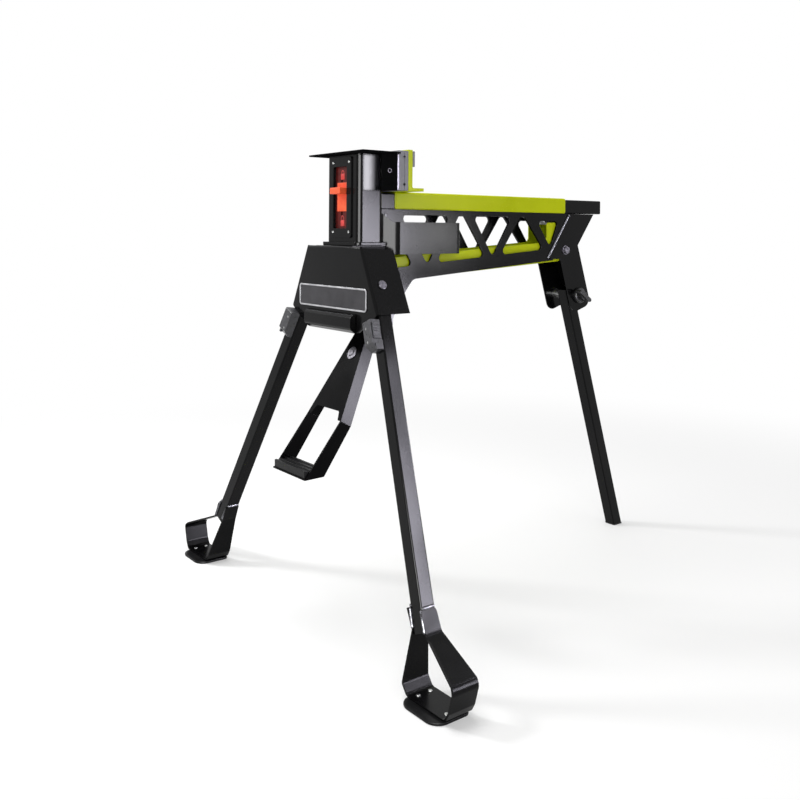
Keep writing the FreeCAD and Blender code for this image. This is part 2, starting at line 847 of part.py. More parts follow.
def make_yoke():
    tab_low = lever_pin_z - yoke_tab_drop
    outline = [(yoke_tab_front, tab_low), (lever_pin_y + yoke_tab_drop, tab_low),
               (yoke_front + yoke_tab_drop * 2, yoke_bottom(yoke_front + yoke_tab_drop * 2)),
               (yoke_rear, yoke_bottom(yoke_rear)), (yoke_rear, yoke_upright_top),
               (yoke_upright_front, yoke_upright_top),
               (yoke_upright_front, yoke_bottom(yoke_upright_front) + yoke_bar_height),
               (yoke_front, yoke_bottom(yoke_front) + yoke_bar_height),
               (yoke_tab_front, lever_pin_z + yoke_tab_drop)]
    radii = [yoke_corner, yoke_corner, yoke_corner, yoke_corner, yoke_corner, yoke_corner, yoke_corner * 2,
             yoke_corner * 2, yoke_corner]
    solid = plate_yz(outline, radii, -yoke_half, yoke_half)
    inner_half = yoke_half - yoke_wall
    hollow = [(yoke_tab_front - over, tab_low - over), (lever_pin_y + yoke_tab_drop * 2, tab_low - over),
              (yoke_front + yoke_tab_drop * 2, yoke_bottom(yoke_front + yoke_tab_drop * 2) + yoke_wall),
              (yoke_rear - yoke_wall, yoke_bottom(yoke_rear) + yoke_wall),
              (yoke_rear - yoke_wall, yoke_upright_top + over),
              (yoke_tab_front - over, yoke_upright_top + over)]
    shell = solid.cut(plate_yz(hollow, 0, -inner_half, inner_half))
    slot_half = lever_pin_radius + gap
    slot_high = slot_half + pin_slot_slack
    slot = plate_yz(rectangle(lever_pin_y - slot_half, lever_pin_y + slot_half,
                              lever_pin_z - slot_high, lever_pin_z + slot_high),
                    slot_half * round_end_share, -yoke_half - over, yoke_half + over)
    add("pull_yoke", shell.cut(slot))

    base = block(-inner_half, inner_half, carrier_front, yoke_rear - yoke_wall,
                 yoke_upright_top - carrier_plate, yoke_upright_top)
    head_top = rail_top - rail_wall - gap * 2
    heads = []
    for y in (carrier_front, carrier_rear - carrier_plate - carrier_head):
        heads.append(block(-carrier_half, carrier_half, y, y + carrier_head, yoke_upright_top, head_top))
    passage = block(-drive_bar_half - gap, drive_bar_half + gap, carrier_front - over, carrier_rear + over,
                    drive_bar_bottom - gap, drive_bar_top + gap)
    add("clutch_carrier", joined([base] + heads).cut(passage))
    plates = []
    room = carrier_rear - carrier_plate - carrier_head - carrier_front - carrier_head
    pitch = clutch_plate_thickness + clutch_plate_gap
    first = carrier_front + carrier_head + (room - pitch * clutch_plate_count + clutch_plate_gap) / 2
    for i in range(clutch_plate_count):
        y = first + i * pitch
        plates.append(block(-carrier_half, carrier_half, y, y + clutch_plate_thickness,
                            yoke_upright_top, head_top).cut(passage))
    add("clutch_plates", *plates)


def make_glides():
    pads = []
    for i in range(2):
        middle = window_first + i * glide_pitch_share * window_pitch
        low = truss_bottom(middle) + (chord_bottom - glide_height) / 2
        pad = block(yoke_half + gap, rail_half - truss_plate, middle - glide_length / 2,
                    middle + glide_length / 2, low, low + glide_height)
        pads += [pad, mirrored(pad)]
    add("yoke_glides", *pads)


# Housing

def make_housing():
    front, inner_front = -front_face, -front_face + housing_wall

    def half_at(height, offset):
        return flank_x(height, offset)

    wide, narrow = half_at(housing_vertex, flank_outer), half_at(housing_top, flank_outer)
    points = [(-wide, housing_vertex), (-housing_bottom_half, housing_bottom),
              (housing_bottom_half, housing_bottom), (wide, housing_vertex),
              (narrow, housing_top), (-narrow, housing_top)]
    pieces = [plate_xz(points, housing_corner, front, inner_front)]
    for side in (-1, 1):
        top = housing_top
        flank = [(side * half_at(top, flank_outer), top), (side * half_at(top, flank_inner), top),
                 (side * half_at(housing_vertex, flank_inner), housing_vertex),
                 (side * half_at(housing_vertex, flank_outer), housing_vertex)]
        wall = plate_xz(flank, 0, front + housing_wall / 2, flank_rear)
        slope = plate_yz([(front + housing_wall, housing_top + over), (flank_rear + over, housing_top + over),
                          (flank_rear + over, housing_top - flank_top_drop),
                          (front + housing_wall * 2, housing_top - housing_wall)], 0,
                         min(side * post_half, side * half_at(housing_vertex, flank_outer)),
                         max(side * post_half, side * half_at(housing_vertex, flank_outer)))
        pieces.append(wall.cut(slope))
    deck_half = post_half + collar_lip
    deck = block(-deck_half, deck_half, inner_front - over / 2, flank_rear,
                 housing_top - housing_wall, housing_top)
    pieces.append(deck)
    shoulder = []
    for side in (-1, 1):
        low = housing_top - flank_top_drop
        strip = [(side * (deck_half - over), housing_top),
                 (side * (deck_half - over), housing_top - housing_wall),
                 (side * half_at(low - housing_wall, flank_inner), low - housing_wall),
                 (side * half_at(low, flank_inner + over / 2), low)]
        shoulder.append(plate_xz(strip, 0, inner_front - over / 2, flank_rear))
    bolt_start = pivot - flank_normal * over
    shell = joined(pieces + shoulder)
    for side in (-1, 1):
        hole = rod(bolt_start, pivot + flank_normal * (flank_outer + over * 2), pivot_radius)
        shell = shell.cut(hole if side == 1 else mirrored(hole))
    ahead = Vector(0, -1, 0)
    low = housing_vertex - over
    side_fold = fold_cutter(Vector(flank_x(low, flank_outer), front, low), flank_normal, ahead, fall * -1,
                            (housing_top + over - low) / math.cos(rad(splay)), housing_fold)
    top_fold = fold_cutter(Vector(-narrow, front, housing_top), Vector(0, 0, 1), ahead, Vector(1, 0, 0),
                           narrow * 2, housing_fold)
    add("base_housing", shell.cut(side_fold).cut(mirrored(side_fold)).cut(top_fold).removeSplitter())

    lip_face = -front_face - lip_proud
    profile = [(-front_face, lip_bottom), (-front_face, lip_top), (lip_face, lip_top - lip_round / 2),
               (lip_face, lip_bottom + lip_round)]
    bulge = plate_yz(profile, [0, 0, lip_round, lip_round], -lip_half, lip_half)
    hollow = plate_yz(offset_path(profile, housing_wall, closed=True) if polygon_area(profile) > 0
                      else offset_path(profile, -housing_wall, closed=True),
                      [0, 0, lip_round - housing_wall, lip_round - housing_wall],
                      -lip_half + housing_wall, lip_half - housing_wall)
    add("front_lip", bulge.cut(hollow))

    badge = plate_xz(rectangle(-badge_half, badge_half, badge_bottom, badge_top), badge_corner,
                     -front_face - badge_thickness, -front_face)
    add("front_badge", badge)


def make_leg_cheeks():
    inner = flank_inner
    low, high = housing_vertex, housing_top - housing_wall
    points = [(flank_x(low, -inner), low), (flank_x(high, -inner), high),
              (flank_x(high, -inner - cheek_wall), high), (flank_x(low, -inner - cheek_wall), low)]
    cheek = plate_xz(points, 0, -front_face + housing_wall, cheek_rear)
    hole = rod(pivot - flank_normal * (inner + cheek_wall + over), pivot, pivot_radius)
    add_pair("leg_cheek", [cheek.cut(hole)])


def make_leg_pivots():
    inner_end = flank_inner + cheek_wall
    shaft = rod(pivot - flank_normal * (inner_end + pivot_nut_height), pivot + flank_normal * flank_outer,
                pivot_radius)
    head = domed_head(pivot + flank_normal * flank_outer, flank_normal, pivot_head_radius, pivot_head_height)
    nut = hexagon(pivot - flank_normal * inner_end, flank_normal * -1, pivot_nut_radius, pivot_nut_height)
    bolt = joined([shaft, head, nut])
    add("leg_pivot_bolts", bolt, mirrored(bolt))


# Front legs, feet and latches

foot_outer = foot_inner + foot_width

def square_tube(bottom, top):
    outer = plate_xy(rectangle(-leg_half, leg_half, -leg_half, leg_half), leg_corner, bottom, top)
    inside = leg_half - leg_wall
    inner = plate_xy(rectangle(-inside, inside, -inside, inside), leg_corner - leg_wall,
                     bottom - over, top + over)
    return outer.cut(inner)


def make_front_leg():
    bottom = -(pivot_height - leg_end_height) / -leg_down.z
    tube = square_tube(bottom, leg_top)
    bore = rod(Vector(-leg_tube, 0, 0), Vector(leg_tube, 0, 0), pivot_radius + running)
    sleeve = rod(Vector(-leg_half, 0, 0), Vector(leg_half, 0, 0), pivot_radius + leg_wall)
    tube = tube.fuse(sleeve).cut(bore)
    add_pair("front_leg", [in_leg_frame(tube)])


def make_foot():
    face_offset = leg_half / math.cos(rad(splay))
    inner_top, outer_top = leg_axis_at(strap_inner_top).x, leg_axis_at(strap_outer_top).x
    weld_low = leg_axis_at(strap_weld_low).x
    floor = foot_sole + strap_thickness
    core = [(inner_top - face_offset, strap_inner_top), (weld_low - face_offset, strap_weld_low),
            (foot_inner - foot_inner_knee_in, foot_inner_knee_height), (foot_inner, floor), (foot_outer, floor),
            (foot_outer + foot_outer_ankle_out, foot_outer_ankle_height),
            (foot_outer + foot_outer_knee_out, foot_outer_knee_height),
            (weld_low + face_offset, strap_weld_low), (outer_top + face_offset, strap_outer_top)]
    shell = offset_path(core, -strap_thickness)
    bends = [0] + [strap_bend] * (len(core) - 2) + [0]
    outer_bends = [0] + [strap_bend + strap_thickness] * (len(core) - 2) + [0]
    ring = plate_xz(core + shell[::-1], bends + outer_bends[::-1], strap_low_front, strap_top_rear)
    top_y = leg_axis_at(strap_weld_low).y
    halves = []
    for knee, x0, x1 in ((foot_inner_knee_height, 0, weld_low),
                         (foot_outer_knee_height, weld_low, weld_low * 2)):
        taper = [(top_y - leg_half, strap_outer_top + over), (top_y - leg_half, strap_weld_low),
                 (strap_low_front, knee), (strap_low_front, 0), (strap_low_rear, 0),
                 (strap_low_rear, knee), (strap_top_rear, strap_weld_low),
                 (strap_top_rear, strap_outer_top + over)]
        halves.append(ring.common(plate_yz(taper, strap_bend, x0, x1)))
    add_pair("foot_strap", [joined(halves)])

    pad = plate_xy(rectangle(foot_inner - pad_inner_lap, foot_outer + pad_outer_lap, pad_front, pad_rear),
                   [pad_front_corner, pad_front_corner, pad_rear_corner, pad_rear_corner], 0, foot_sole)
    add_pair("foot_pad", [pad])
    rivets = []
    for x in (foot_inner + rivet_inset, foot_outer - rivet_inset):
        for side in (-1, 1):
            base = Vector(x, (strap_low_front + strap_low_rear) / 2 + side * rivet_spread, floor)
            rivets.append(domed_head(base, Vector(0, 0, 1), rivet_radius, rivet_height))
    add_pair("foot_rivets", rivets)


def make_latch():
    front = -leg_half - latch_depth
    left, right = -latch_width / 2, latch_width / 2
    top, bottom = -latch_top, -latch_top - latch_length
    profile = [(-leg_half, top), (-leg_half, bottom), (front + latch_chin, bottom),
               (front, bottom + latch_chin), (front, top)]
    body = plate_yz(profile, [0, 0, latch_corner, latch_corner, latch_corner], left, right)
    chin_front = front + latch_chin_back
    chin = plate_yz([(-leg_half, bottom), (chin_front, bottom), (chin_front, bottom + latch_chin),
                     (-leg_half, bottom + latch_chin_rise)], 0, right - over, right + latch_button_proud)
    body = body.fuse(chin)
    button_top = top - latch_button_drop
    button_low = button_top - latch_button_length
    middle_y = -leg_half - latch_depth / 2
    pocket_depth = latch_press + gap * 3
    pocket = block(right - pocket_depth, right + over, middle_y - latch_button_width / 2 - gap,
                   middle_y + latch_button_width / 2 + gap, button_low - gap, button_top + gap)
    body = body.cut(pocket)
    screw_x = left + latch_width / 3
    screw_holes = []
    for share in latch_screw_shares:
        z = top - latch_length * share
        screw_holes.append(rod(Vector(screw_x, front - over, z), Vector(screw_x, front + latch_screw_sink, z),
                               latch_screw_radius))
    for hole in screw_holes:
        body = body.cut(hole)
    add_pair("latch_body", [in_leg_frame(body.removeSplitter())])

    proud = right + latch_button_proud
    button = plate_yz(rectangle(middle_y - latch_button_width / 2, middle_y + latch_button_width / 2,
                                button_low, button_top), latch_rib,
                      right - pocket_depth + latch_press + gap, proud)
    pitch = latch_button_length / latch_rib_count
    for i in range(latch_rib_count):
        z = button_low + (i + 0.5) * pitch
        groove = block(proud - latch_rib, proud + over, middle_y - latch_button_width,
                       middle_y + latch_button_width, z - latch_rib / 2, z + latch_rib / 2)
        button = button.cut(groove)
    add_pair("latch_button", [in_leg_frame(button)])

    screws = []
    for share in latch_screw_shares:
        z = top - latch_length * share
        base = Vector(screw_x, front + latch_screw_sink, z)
        screws.append(rod(base, base + Vector(0, -latch_screw_thickness, 0), latch_screw_radius - gap / 2))
    nut = domed_head(Vector(0, leg_half, top - latch_length * latch_screw_shares[0]), Vector(0, 1, 0),
                     latch_nut_radius, latch_nut_height)
    add_pair("latch_screws", [in_leg_frame(shape) for shape in screws + [nut]])


# Rear bracket, rear leg and its knob

rear_down = (math.sin(rad(rear_lean)), -math.cos(rad(rear_lean)))
rear_across = (math.cos(rad(rear_lean)), math.sin(rad(rear_lean)))


def make_rear_bracket():
    top = rail_bottom - bracket_top_gap
    start = (rear_pivot_y - rear_across[0] * bracket_round, rear_pivot_z - rear_across[1] * bracket_round)
    low_front = (start[0] + rear_down[0] * bracket_round, start[1] + rear_down[1] * bracket_round)
    end = (rear_pivot_y + rear_across[0] * bracket_round, rear_pivot_z + rear_across[1] * bracket_round)
    low_rear = (end[0] + rear_down[0] * bracket_round, end[1] + rear_down[1] * bracket_round)
    front_run = (bracket_seam_height - start[1]) / -rear_down[1]
    front_top = (start[0] - rear_down[0] * front_run, bracket_seam_height)
    outline = [(bracket_top_front, top), (bracket_seam_front, bracket_seam_height), front_top, low_front,
               low_rear, (bracket_kink_y, bracket_kink_z), (bracket_top_rear, top)]
    radii = [0, bracket_wall * 2, bracket_wall * 2, bracket_end_corner, bracket_end_corner, 0, 0]
    outer = rail_half + bracket_wall
    cheeks = []
    for side in (-1, 1):
        x0, x1 = sorted((side * rail_half, side * outer))
        cheeks.append(plate_yz(outline, radii, x0, x1))
    web_path = [(bracket_top_rear, top), (bracket_kink_y, bracket_kink_z), end]
    web_outline = bent_strip(web_path, -bracket_wall, bracket_wall)[0]
    web = plate_yz(web_outline, 0, -outer + bracket_wall / 2, outer - bracket_wall / 2)
    web = web.cut(block(-outer, outer, bracket_kink_y, rail_rear, top, rail_top))
    shell = joined(cheeks + [web])
    for y, z, radius in ((rear_pivot_y, rear_pivot_z, rear_pivot_radius + running),
                         (bracket_bolt_y, bracket_bolt_z, bracket_bolt_radius)):
        shell = shell.cut(rod(Vector(-outer - over, y, z), Vector(outer + over, y, z), radius))
    add("rear_bracket", shell)

    shaft = rod(Vector(-outer, bracket_bolt_y, bracket_bolt_z), Vector(outer, bracket_bolt_y, bracket_bolt_z),
                bracket_bolt_radius)
    washer = rod(Vector(outer, bracket_bolt_y, bracket_bolt_z),
                 Vector(outer + bracket_washer, bracket_bolt_y, bracket_bolt_z), bracket_washer_radius)
    head = hexagon(Vector(outer + bracket_washer, bracket_bolt_y, bracket_bolt_z), Vector(1, 0, 0),
                   bracket_bolt_head, bracket_bolt_head_height)
    nut = hexagon(Vector(-outer, bracket_bolt_y, bracket_bolt_z), Vector(-1, 0, 0),
                  bracket_bolt_head, bracket_bolt_head_height)
    frame_bolts.append(joined([shaft, washer, head, nut]))
    sleeve_inner = bracket_bolt_radius + gap
    sleeve = rod(Vector(-rail_half, bracket_bolt_y, bracket_bolt_z),
                 Vector(rail_half, bracket_bolt_y, bracket_bolt_z), sleeve_inner + truss_plate)
    sleeve = sleeve.cut(rod(Vector(-outer, bracket_bolt_y, bracket_bolt_z),
                            Vector(outer, bracket_bolt_y, bracket_bolt_z), bracket_bolt_radius))
    add("bracket_sleeve", sleeve)

    spacers = []
    for side in (-1, 1):
        start_x, end_x = side * (leg_half + gap), side * rail_half
        ring = rod(Vector(start_x, rear_pivot_y, rear_pivot_z), Vector(end_x, rear_pivot_y, rear_pivot_z),
                   rear_spacer_radius)
        hole = rod(Vector(start_x - side * over, rear_pivot_y, rear_pivot_z),
                   Vector(end_x + side * over, rear_pivot_y, rear_pivot_z), rear_pivot_radius + running)
        spacers.append(ring.cut(hole))
    add("rear_leg_spacers", *spacers)


def in_rear_frame(shape):
    """Moves a shape made upright about the origin to the rear pivot, leaning back."""
    moved = shape.copy()
    moved.rotate(Vector(0, 0, 0), Vector(1, 0, 0), rear_lean)
    moved.translate(Vector(0, rear_pivot_y, rear_pivot_z))
    return moved


def make_rear_leg():
    length = rear_pivot_z / math.cos(rad(rear_lean)) + leg_tube
    tube = square_tube(-length, rear_leg_top)
    sleeve = rod(Vector(-leg_half, 0, 0), Vector(leg_half, 0, 0), rear_pivot_radius + leg_wall)
    bore = rod(Vector(-leg_tube, 0, 0), Vector(leg_tube, 0, 0), rear_pivot_radius + running)
    tube = in_rear_frame(tube.fuse(sleeve).cut(bore))
    reach = rear_pivot_y * 2
    ground = block(-reach, reach, -reach, reach * 2, -reach, rear_plug_proud)
    add("rear_leg", tube.cut(ground))
    inside = leg_half - leg_wall - gap / 3
    plug = plate_xy(rectangle(-inside, inside, -inside, inside), leg_corner - leg_wall,
                    -length, -length + leg_tube * 3)
    rim_half = leg_half + rear_plug_flange
    rim = plate_xy(rectangle(-rim_half, rim_half, -rim_half, rim_half), leg_corner, -length, rear_leg_top)
    plug, rim = in_rear_frame(plug), in_rear_frame(rim)
    slab = block(-reach, reach, -reach, reach * 2, 0, rear_plug_proud)
    add("rear_leg_plug", plug.cut(ground).fuse(rim.common(slab)).removeSplitter())


def make_knob():
    outer = rail_half + bracket_wall
    face = outer + gap
    disc = domed_head(Vector(face, 0, 0), Vector(1, 0, 0), knob_radius, knob_thickness)
    hub = rod(Vector(face, 0, 0), Vector(face + knob_thickness + knob_hub_length, 0, 0), knob_hub_radius)
    half_length, half_width = knob_wing_length / 2, knob_wing_width / 2
    wing = plate_yz(rectangle(-half_length, half_length, -half_width, half_width), half_width * round_end_share,
                    face + knob_thickness, face + knob_thickness + knob_wing_depth)
    knob = joined([disc, hub, wing])
    socket = rod(Vector(0, 0, 0), Vector(face + knob_thickness, 0, 0), rear_pivot_radius)
    knob = knob.cut(socket)
    knob.rotate(Vector(0, 0, 0), Vector(1, 0, 0), knob_wing_turn)
    knob.translate(Vector(0, rear_pivot_y, rear_pivot_z))
    add("rear_knob", knob)
    shaft = rod(Vector(-outer - gap, 0, 0), Vector(face + knob_thickness, 0, 0), rear_pivot_radius)
    head = domed_head(Vector(-outer - gap, 0, 0), Vector(-1, 0, 0),
                      bracket_bolt_head, bracket_bolt_head_height)
    bolt = shaft.fuse(head)
    bolt.translate(Vector(0, rear_pivot_y, rear_pivot_z))
    add("rear_pivot_bolt", bolt)


# Pedal, made hanging straight down from its pivot and then leaned forward

def in_pedal_frame(shape):
    moved = shape.copy()
    moved.rotate(Vector(0, 0, 0), Vector(1, 0, 0), -pedal_lean)
    moved.translate(Vector(0, pedal_y, pedal_z))
    return moved


def pedal_half(down):
    return max(pedal_neck_half, pedal_neck_half + pedal_taper * (down - pedal_neck))


def pedal_trapezoid(inset, top, bottom, y0, y1):
    points = [(pedal_half(down) - inset, -down) for down in (bottom, pedal_neck, top)]
    points += [(-x, z) for x, z in points[::-1]]
    return plate_xz(points, 0, y0, y1)


def make_pedal():
    half_depth = pedal_depth / 2
    body = pedal_trapezoid(0, -pedal_top, pedal_length, -half_depth, half_depth)
    hollow = pedal_trapezoid(pedal_wall, -pedal_top - over, pedal_length + over, -half_depth + pedal_wall,
                             half_depth + over)
    notch_top = pedal_length - pedal_notch_rise
    notch = plate_xz([(-pedal_notch_half, -notch_top), (pedal_notch_half, -notch_top),
                      (pedal_notch_half + pedal_notch_rise / 2, -pedal_length - over),
                      (-pedal_notch_half - pedal_notch_rise / 2, -pedal_length - over)],
                     [pedal_wall * 2, pedal_wall * 2, 0, 0],
                     -half_depth - over, -half_depth + pedal_wall + over)
    channel = in_pedal_frame(body.cut(hollow).cut(notch))
    arms = []
    sine, cosine = math.sin(rad(pedal_swing / 2)), math.cos(rad(pedal_swing / 2))
    lever_reach = lever_length + lever_round
    for side in (-1, 1):
        x0, x1 = sorted((side * pedal_arm_inner, side * pedal_arm_outer))
        along = (sine, cosine)
        across = (cosine, -sine)
        low = (pedal_y - along[0] * pedal_arm_round, pedal_z - along[1] * pedal_arm_round)
        high = (pedal_y + along[0] * lever_reach, pedal_z + along[1] * lever_reach)
        points = [(low[0] - across[0] * pedal_arm_round, low[1] - across[1] * pedal_arm_round),
                  (low[0] + across[0] * pedal_arm_round, low[1] + across[1] * pedal_arm_round),
                  (high[0] + across[0] * lever_round, high[1] + across[1] * lever_round),
                  (high[0] - across[0] * lever_round, high[1] - across[1] * lever_round)]
        low_round, high_round = pedal_arm_round * round_end_share, lever_round * round_end_share
        arms.append(plate_yz(points, [low_round, low_round, high_round, high_round], x0, x1))
    lever = joined([channel] + arms)
    bore = rod(Vector(-rail_half, pedal_y, pedal_z), Vector(rail_half, pedal_y, pedal_z),
               pedal_pin_radius + running)
    link_bore = rod(Vector(-rail_half, lever_pin_y, lever_pin_z), Vector(rail_half, lever_pin_y, lever_pin_z),
                    lever_pin_radius)
    add("pedal_lever", lever.cut(bore).cut(link_bore))
    pin = rod(Vector(-rail_half, pedal_y, pedal_z), Vector(rail_half, pedal_y, pedal_z), pedal_pin_radius)
    head = domed_head(Vector(rail_half, pedal_y, pedal_z), Vector(1, 0, 0), pedal_pin_head_radius, pedal_wall)
    add("pedal_pivot_pin", pin.fuse(head).fuse(mirrored(head)))
    pin_end = yoke_half + gap
    add("link_pin", rod(Vector(-pin_end, lever_pin_y, lever_pin_z), Vector(pin_end, lever_pin_y, lever_pin_z),
                        lever_pin_radius))
    boss = domed_head(Vector(0, -half_depth, -pedal_boss_down), Vector(0, -1, 0),
                      pedal_boss_radius, pedal_boss_height)
    bolt = domed_head(Vector(0, -half_depth - pedal_boss_height, -pedal_boss_down), Vector(0, -1, 0),
                      pedal_boss_bolt, pedal_boss_height)
    add("pedal_boss", in_pedal_frame(boss.fuse(bolt)))


def make_pedal_spring():
    width = spring_turns * spring_pitch
    spring_radius = pedal_pin_radius + gap + spring_wire / 2
    coil = Part.makeHelix(spring_pitch, width, spring_radius)
    section = Part.Wire([Part.makeCircle(spring_wire / 2, Vector(spring_radius, 0, 0), Vector(0, 1, 0))])
    spring = Part.Wire(coil.Edges).makePipeShell([section], True, True)
    spring.rotate(Vector(0, 0, 0), Vector(0, 1, 0), 90)
    spring.translate(Vector(-width / 2, pedal_y, pedal_z))
    add("pedal_spring", spring)


def make_stirrup():
    half_depth = pedal_depth / 2
    outer = pedal_half(pedal_length)
    straps = []
    for side in (-1, 1):
        x0, x1 = sorted((side * (outer - stirrup_wall), side * outer))
        profile = [(-half_depth, -pedal_length), (half_depth, -pedal_length),
                   (stirrup_bottom_back, -stirrup_bottom_back_down),
                   (-stirrup_bottom_front, -stirrup_bottom_front_down)]
        straps.append(plate_yz(profile, [0, 0, stirrup_wall * 2, stirrup_wall], x0, x1))
    floor_profile = [(stirrup_bottom_back, -stirrup_bottom_back_down),
                     (-stirrup_bottom_front, -stirrup_bottom_front_down)]
    strip = bent_strip(floor_profile, -stirrup_wall, 0)[0]
    floor = plate_yz(strip, 0, -outer, outer)
    add("pedal_stirrup", in_pedal_frame(joined(straps + [floor])))

    run = (floor_profile[1][0] - floor_profile[0][0], floor_profile[1][1] - floor_profile[0][1])
    size = math.hypot(*run)
    along = (run[0] / size, run[1] / size)
    up = (along[1], -along[0])
    start = (floor_profile[0][0] + up[0] * stirrup_wall, floor_profile[0][1] + up[1] * stirrup_wall)

    def tread_point(a, b):
        return (start[0] + along[0] * a + up[0] * b, start[1] + along[1] * a + up[1] * b)

    half = outer - stirrup_wall - gap / 3
    tread = plate_yz([tread_point(tread_lap, 0), tread_point(size - tread_lap, 0),
                      tread_point(size - tread_lap, tread_height), tread_point(tread_lap, tread_height)],
                     [0, 0, tread_lap, tread_lap], -half, half)
    pitch = (size - 2 * tread_lap) / (tread_rib_count * 2 - 1)
    ribs = []
    for i in range(tread_rib_count):
        a = tread_lap + pitch * 2 * i
        rib_top = tread_height + tread_rib_height
        corners = [tread_point(a, tread_height - over), tread_point(a + pitch, tread_height - over),
                   tread_point(a + pitch, rib_top), tread_point(a, rib_top)]
        ribs.append(plate_yz(corners, [0, 0, tread_rib_height / 2, tread_rib_height / 2], -half, half))
    add("pedal_tread", in_pedal_frame(joined([tread] + ribs)))
    bumper_base = Vector(outer - bumper_inset, *tread_point(0, tread_height / 2))
    direction = Vector(0, -along[0], -along[1])
    bumper = domed_head(bumper_base, direction, bumper_radius, bumper_length)
    add("pedal_bumper", in_pedal_frame(bumper))


# Carrying handle

def make_handle():
    outer = rail_half
    stand = rail_half + handle_stand
    path = [(handle_front, stand), (handle_rear, stand), (handle_root_rear, outer)]
    shell = offset_path(path, handle_wall)
    points = [(x, y) for y, x in path + shell[::-1]]
    radii = [0, handle_bend, 0, 0, handle_bend + handle_wall, 0]
    strap = plate_xy(points, radii, handle_bottom, handle_top)
    strap = strap.cut(block(0, outer, handle_front, handle_root_rear + handle_stand, handle_bottom, handle_top))
    rear_tab = block(outer, outer + handle_wall, handle_root_rear - handle_rear_foot, handle_root_rear,
                     handle_bottom, handle_top)
    # The front end slopes down from the frame to the grip
    ends = []
    for y, x, rise in ((handle_front + handle_wall, stand, 0),
                       (handle_front - handle_curve, stand - handle_curve / 2, 0),
                       (handle_root_front, outer, handle_rise)):
        low, high = handle_bottom + rise, handle_top + rise
        across = handle_wall / 2 if x < stand else 0
        corners = [Vector(x, y, low), Vector(x + handle_wall, y - across, low),
                   Vector(x + handle_wall, y - across, high), Vector(x, y, high)]
        ends.append(Part.makePolygon(corners + corners[:1]))
    front = Part.makeLoft(ends, True, True)
    low, high = handle_bottom + handle_rise, handle_top + handle_rise
    tab = block(outer, outer + handle_wall, handle_root_front, handle_root_front + handle_foot, low, high)
    lips = []
    for z0, z1 in ((handle_bottom, handle_bottom + handle_wall), (handle_top - handle_wall, handle_top)):
        lips.append(plate_xy([(stand + handle_wall / 2, handle_front + handle_bend),
                              (stand + handle_wall / 2, handle_rear - handle_bend),
                              (stand - handle_lip, handle_rear - handle_bend - handle_lip / 2),
                              (stand - handle_lip, handle_front + handle_bend + handle_lip / 2)],
                             handle_wall, z0, z1))
    add("carry_handle", joined([strap, front, tab, rear_tab] + lips))
    for z in (handle_bottom + handle_foot, handle_top - handle_foot):
        frame_bolts.append(domed_head(Vector(outer + handle_wall, strut_middle(z), z), Vector(1, 0, 0),
                                      handle_bolt_radius, handle_bolt_height))


for make in (make_post, make_top_plate, make_fixed_jaw, make_pads, make_switch, make_rail, make_saddle,
             make_moving_jaw, make_drive_bar, make_truss, make_yoke, make_glides, make_housing,
             make_leg_cheeks, make_leg_pivots, make_front_leg, make_foot, make_latch, make_rear_bracket,
             make_rear_leg, make_knob, make_pedal, make_pedal_spring, make_stirrup, make_handle):
    make()
add("post_screws", *post_screws)
add("jaw_screws", *jaw_screws)
add("frame_bolts", *frame_bolts)

# The middle of the footprint becomes the origin
everything = Part.makeCompound(list(nodes.values())).BoundBox
shift = Vector(0, -(everything.YMin + everything.YMax) / 2, 0)
os.makedirs("parts", exist_ok=True)
for name, shape in nodes.items():
    shape.translate(shift)
    bad = not shape.isValid()
    solids = len(shape.Solids)
    print(name, "solids", solids, "volume", round(shape.Volume), "INVALID" if bad else "")
    shape.exportStep("parts/" + name + ".step")
print("nodes", len(nodes), "shift y", shift.y)
print("pivot", pivot + shift, "fold axis", flank_normal)
print("rear pivot", rear_pivot_y + shift.y, rear_pivot_z)
print("pedal pivot", pedal_y + shift.y, pedal_z)
print("yoke stroke", yoke_stroke, "ratio", yoke_stroke / rad(pedal_swing))
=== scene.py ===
import json
import math

import bpy
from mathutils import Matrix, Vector

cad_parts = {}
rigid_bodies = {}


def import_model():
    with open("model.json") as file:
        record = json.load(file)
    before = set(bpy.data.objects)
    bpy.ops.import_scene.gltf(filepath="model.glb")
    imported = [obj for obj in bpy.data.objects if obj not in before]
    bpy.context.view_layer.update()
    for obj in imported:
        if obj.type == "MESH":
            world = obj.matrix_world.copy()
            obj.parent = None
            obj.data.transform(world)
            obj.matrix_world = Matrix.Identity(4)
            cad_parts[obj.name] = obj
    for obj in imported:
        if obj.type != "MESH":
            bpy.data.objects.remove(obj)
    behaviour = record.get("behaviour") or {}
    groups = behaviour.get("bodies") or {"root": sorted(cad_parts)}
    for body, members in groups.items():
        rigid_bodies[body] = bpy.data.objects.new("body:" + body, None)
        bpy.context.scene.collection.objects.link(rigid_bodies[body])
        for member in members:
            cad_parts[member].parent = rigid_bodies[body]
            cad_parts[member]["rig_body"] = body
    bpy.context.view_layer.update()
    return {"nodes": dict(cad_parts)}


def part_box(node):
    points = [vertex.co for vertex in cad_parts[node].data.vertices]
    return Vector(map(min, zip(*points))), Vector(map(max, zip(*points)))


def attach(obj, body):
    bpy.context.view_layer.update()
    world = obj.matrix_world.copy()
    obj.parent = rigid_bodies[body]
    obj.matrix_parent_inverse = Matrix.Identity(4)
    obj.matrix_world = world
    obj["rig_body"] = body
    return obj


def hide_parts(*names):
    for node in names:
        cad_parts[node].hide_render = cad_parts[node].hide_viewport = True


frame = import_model()
scene = bpy.context.scene
solids = frame["nodes"]
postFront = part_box("post")[0][1]      # Y of the post's front face, which the bench is measured from
print("frame loaded,", len(solids), "solids")


def benchPoint(x, y, z):
    # millimetres, with Y from the post's front face
    return (x / 1000, postFront + y / 1000, z / 1000)


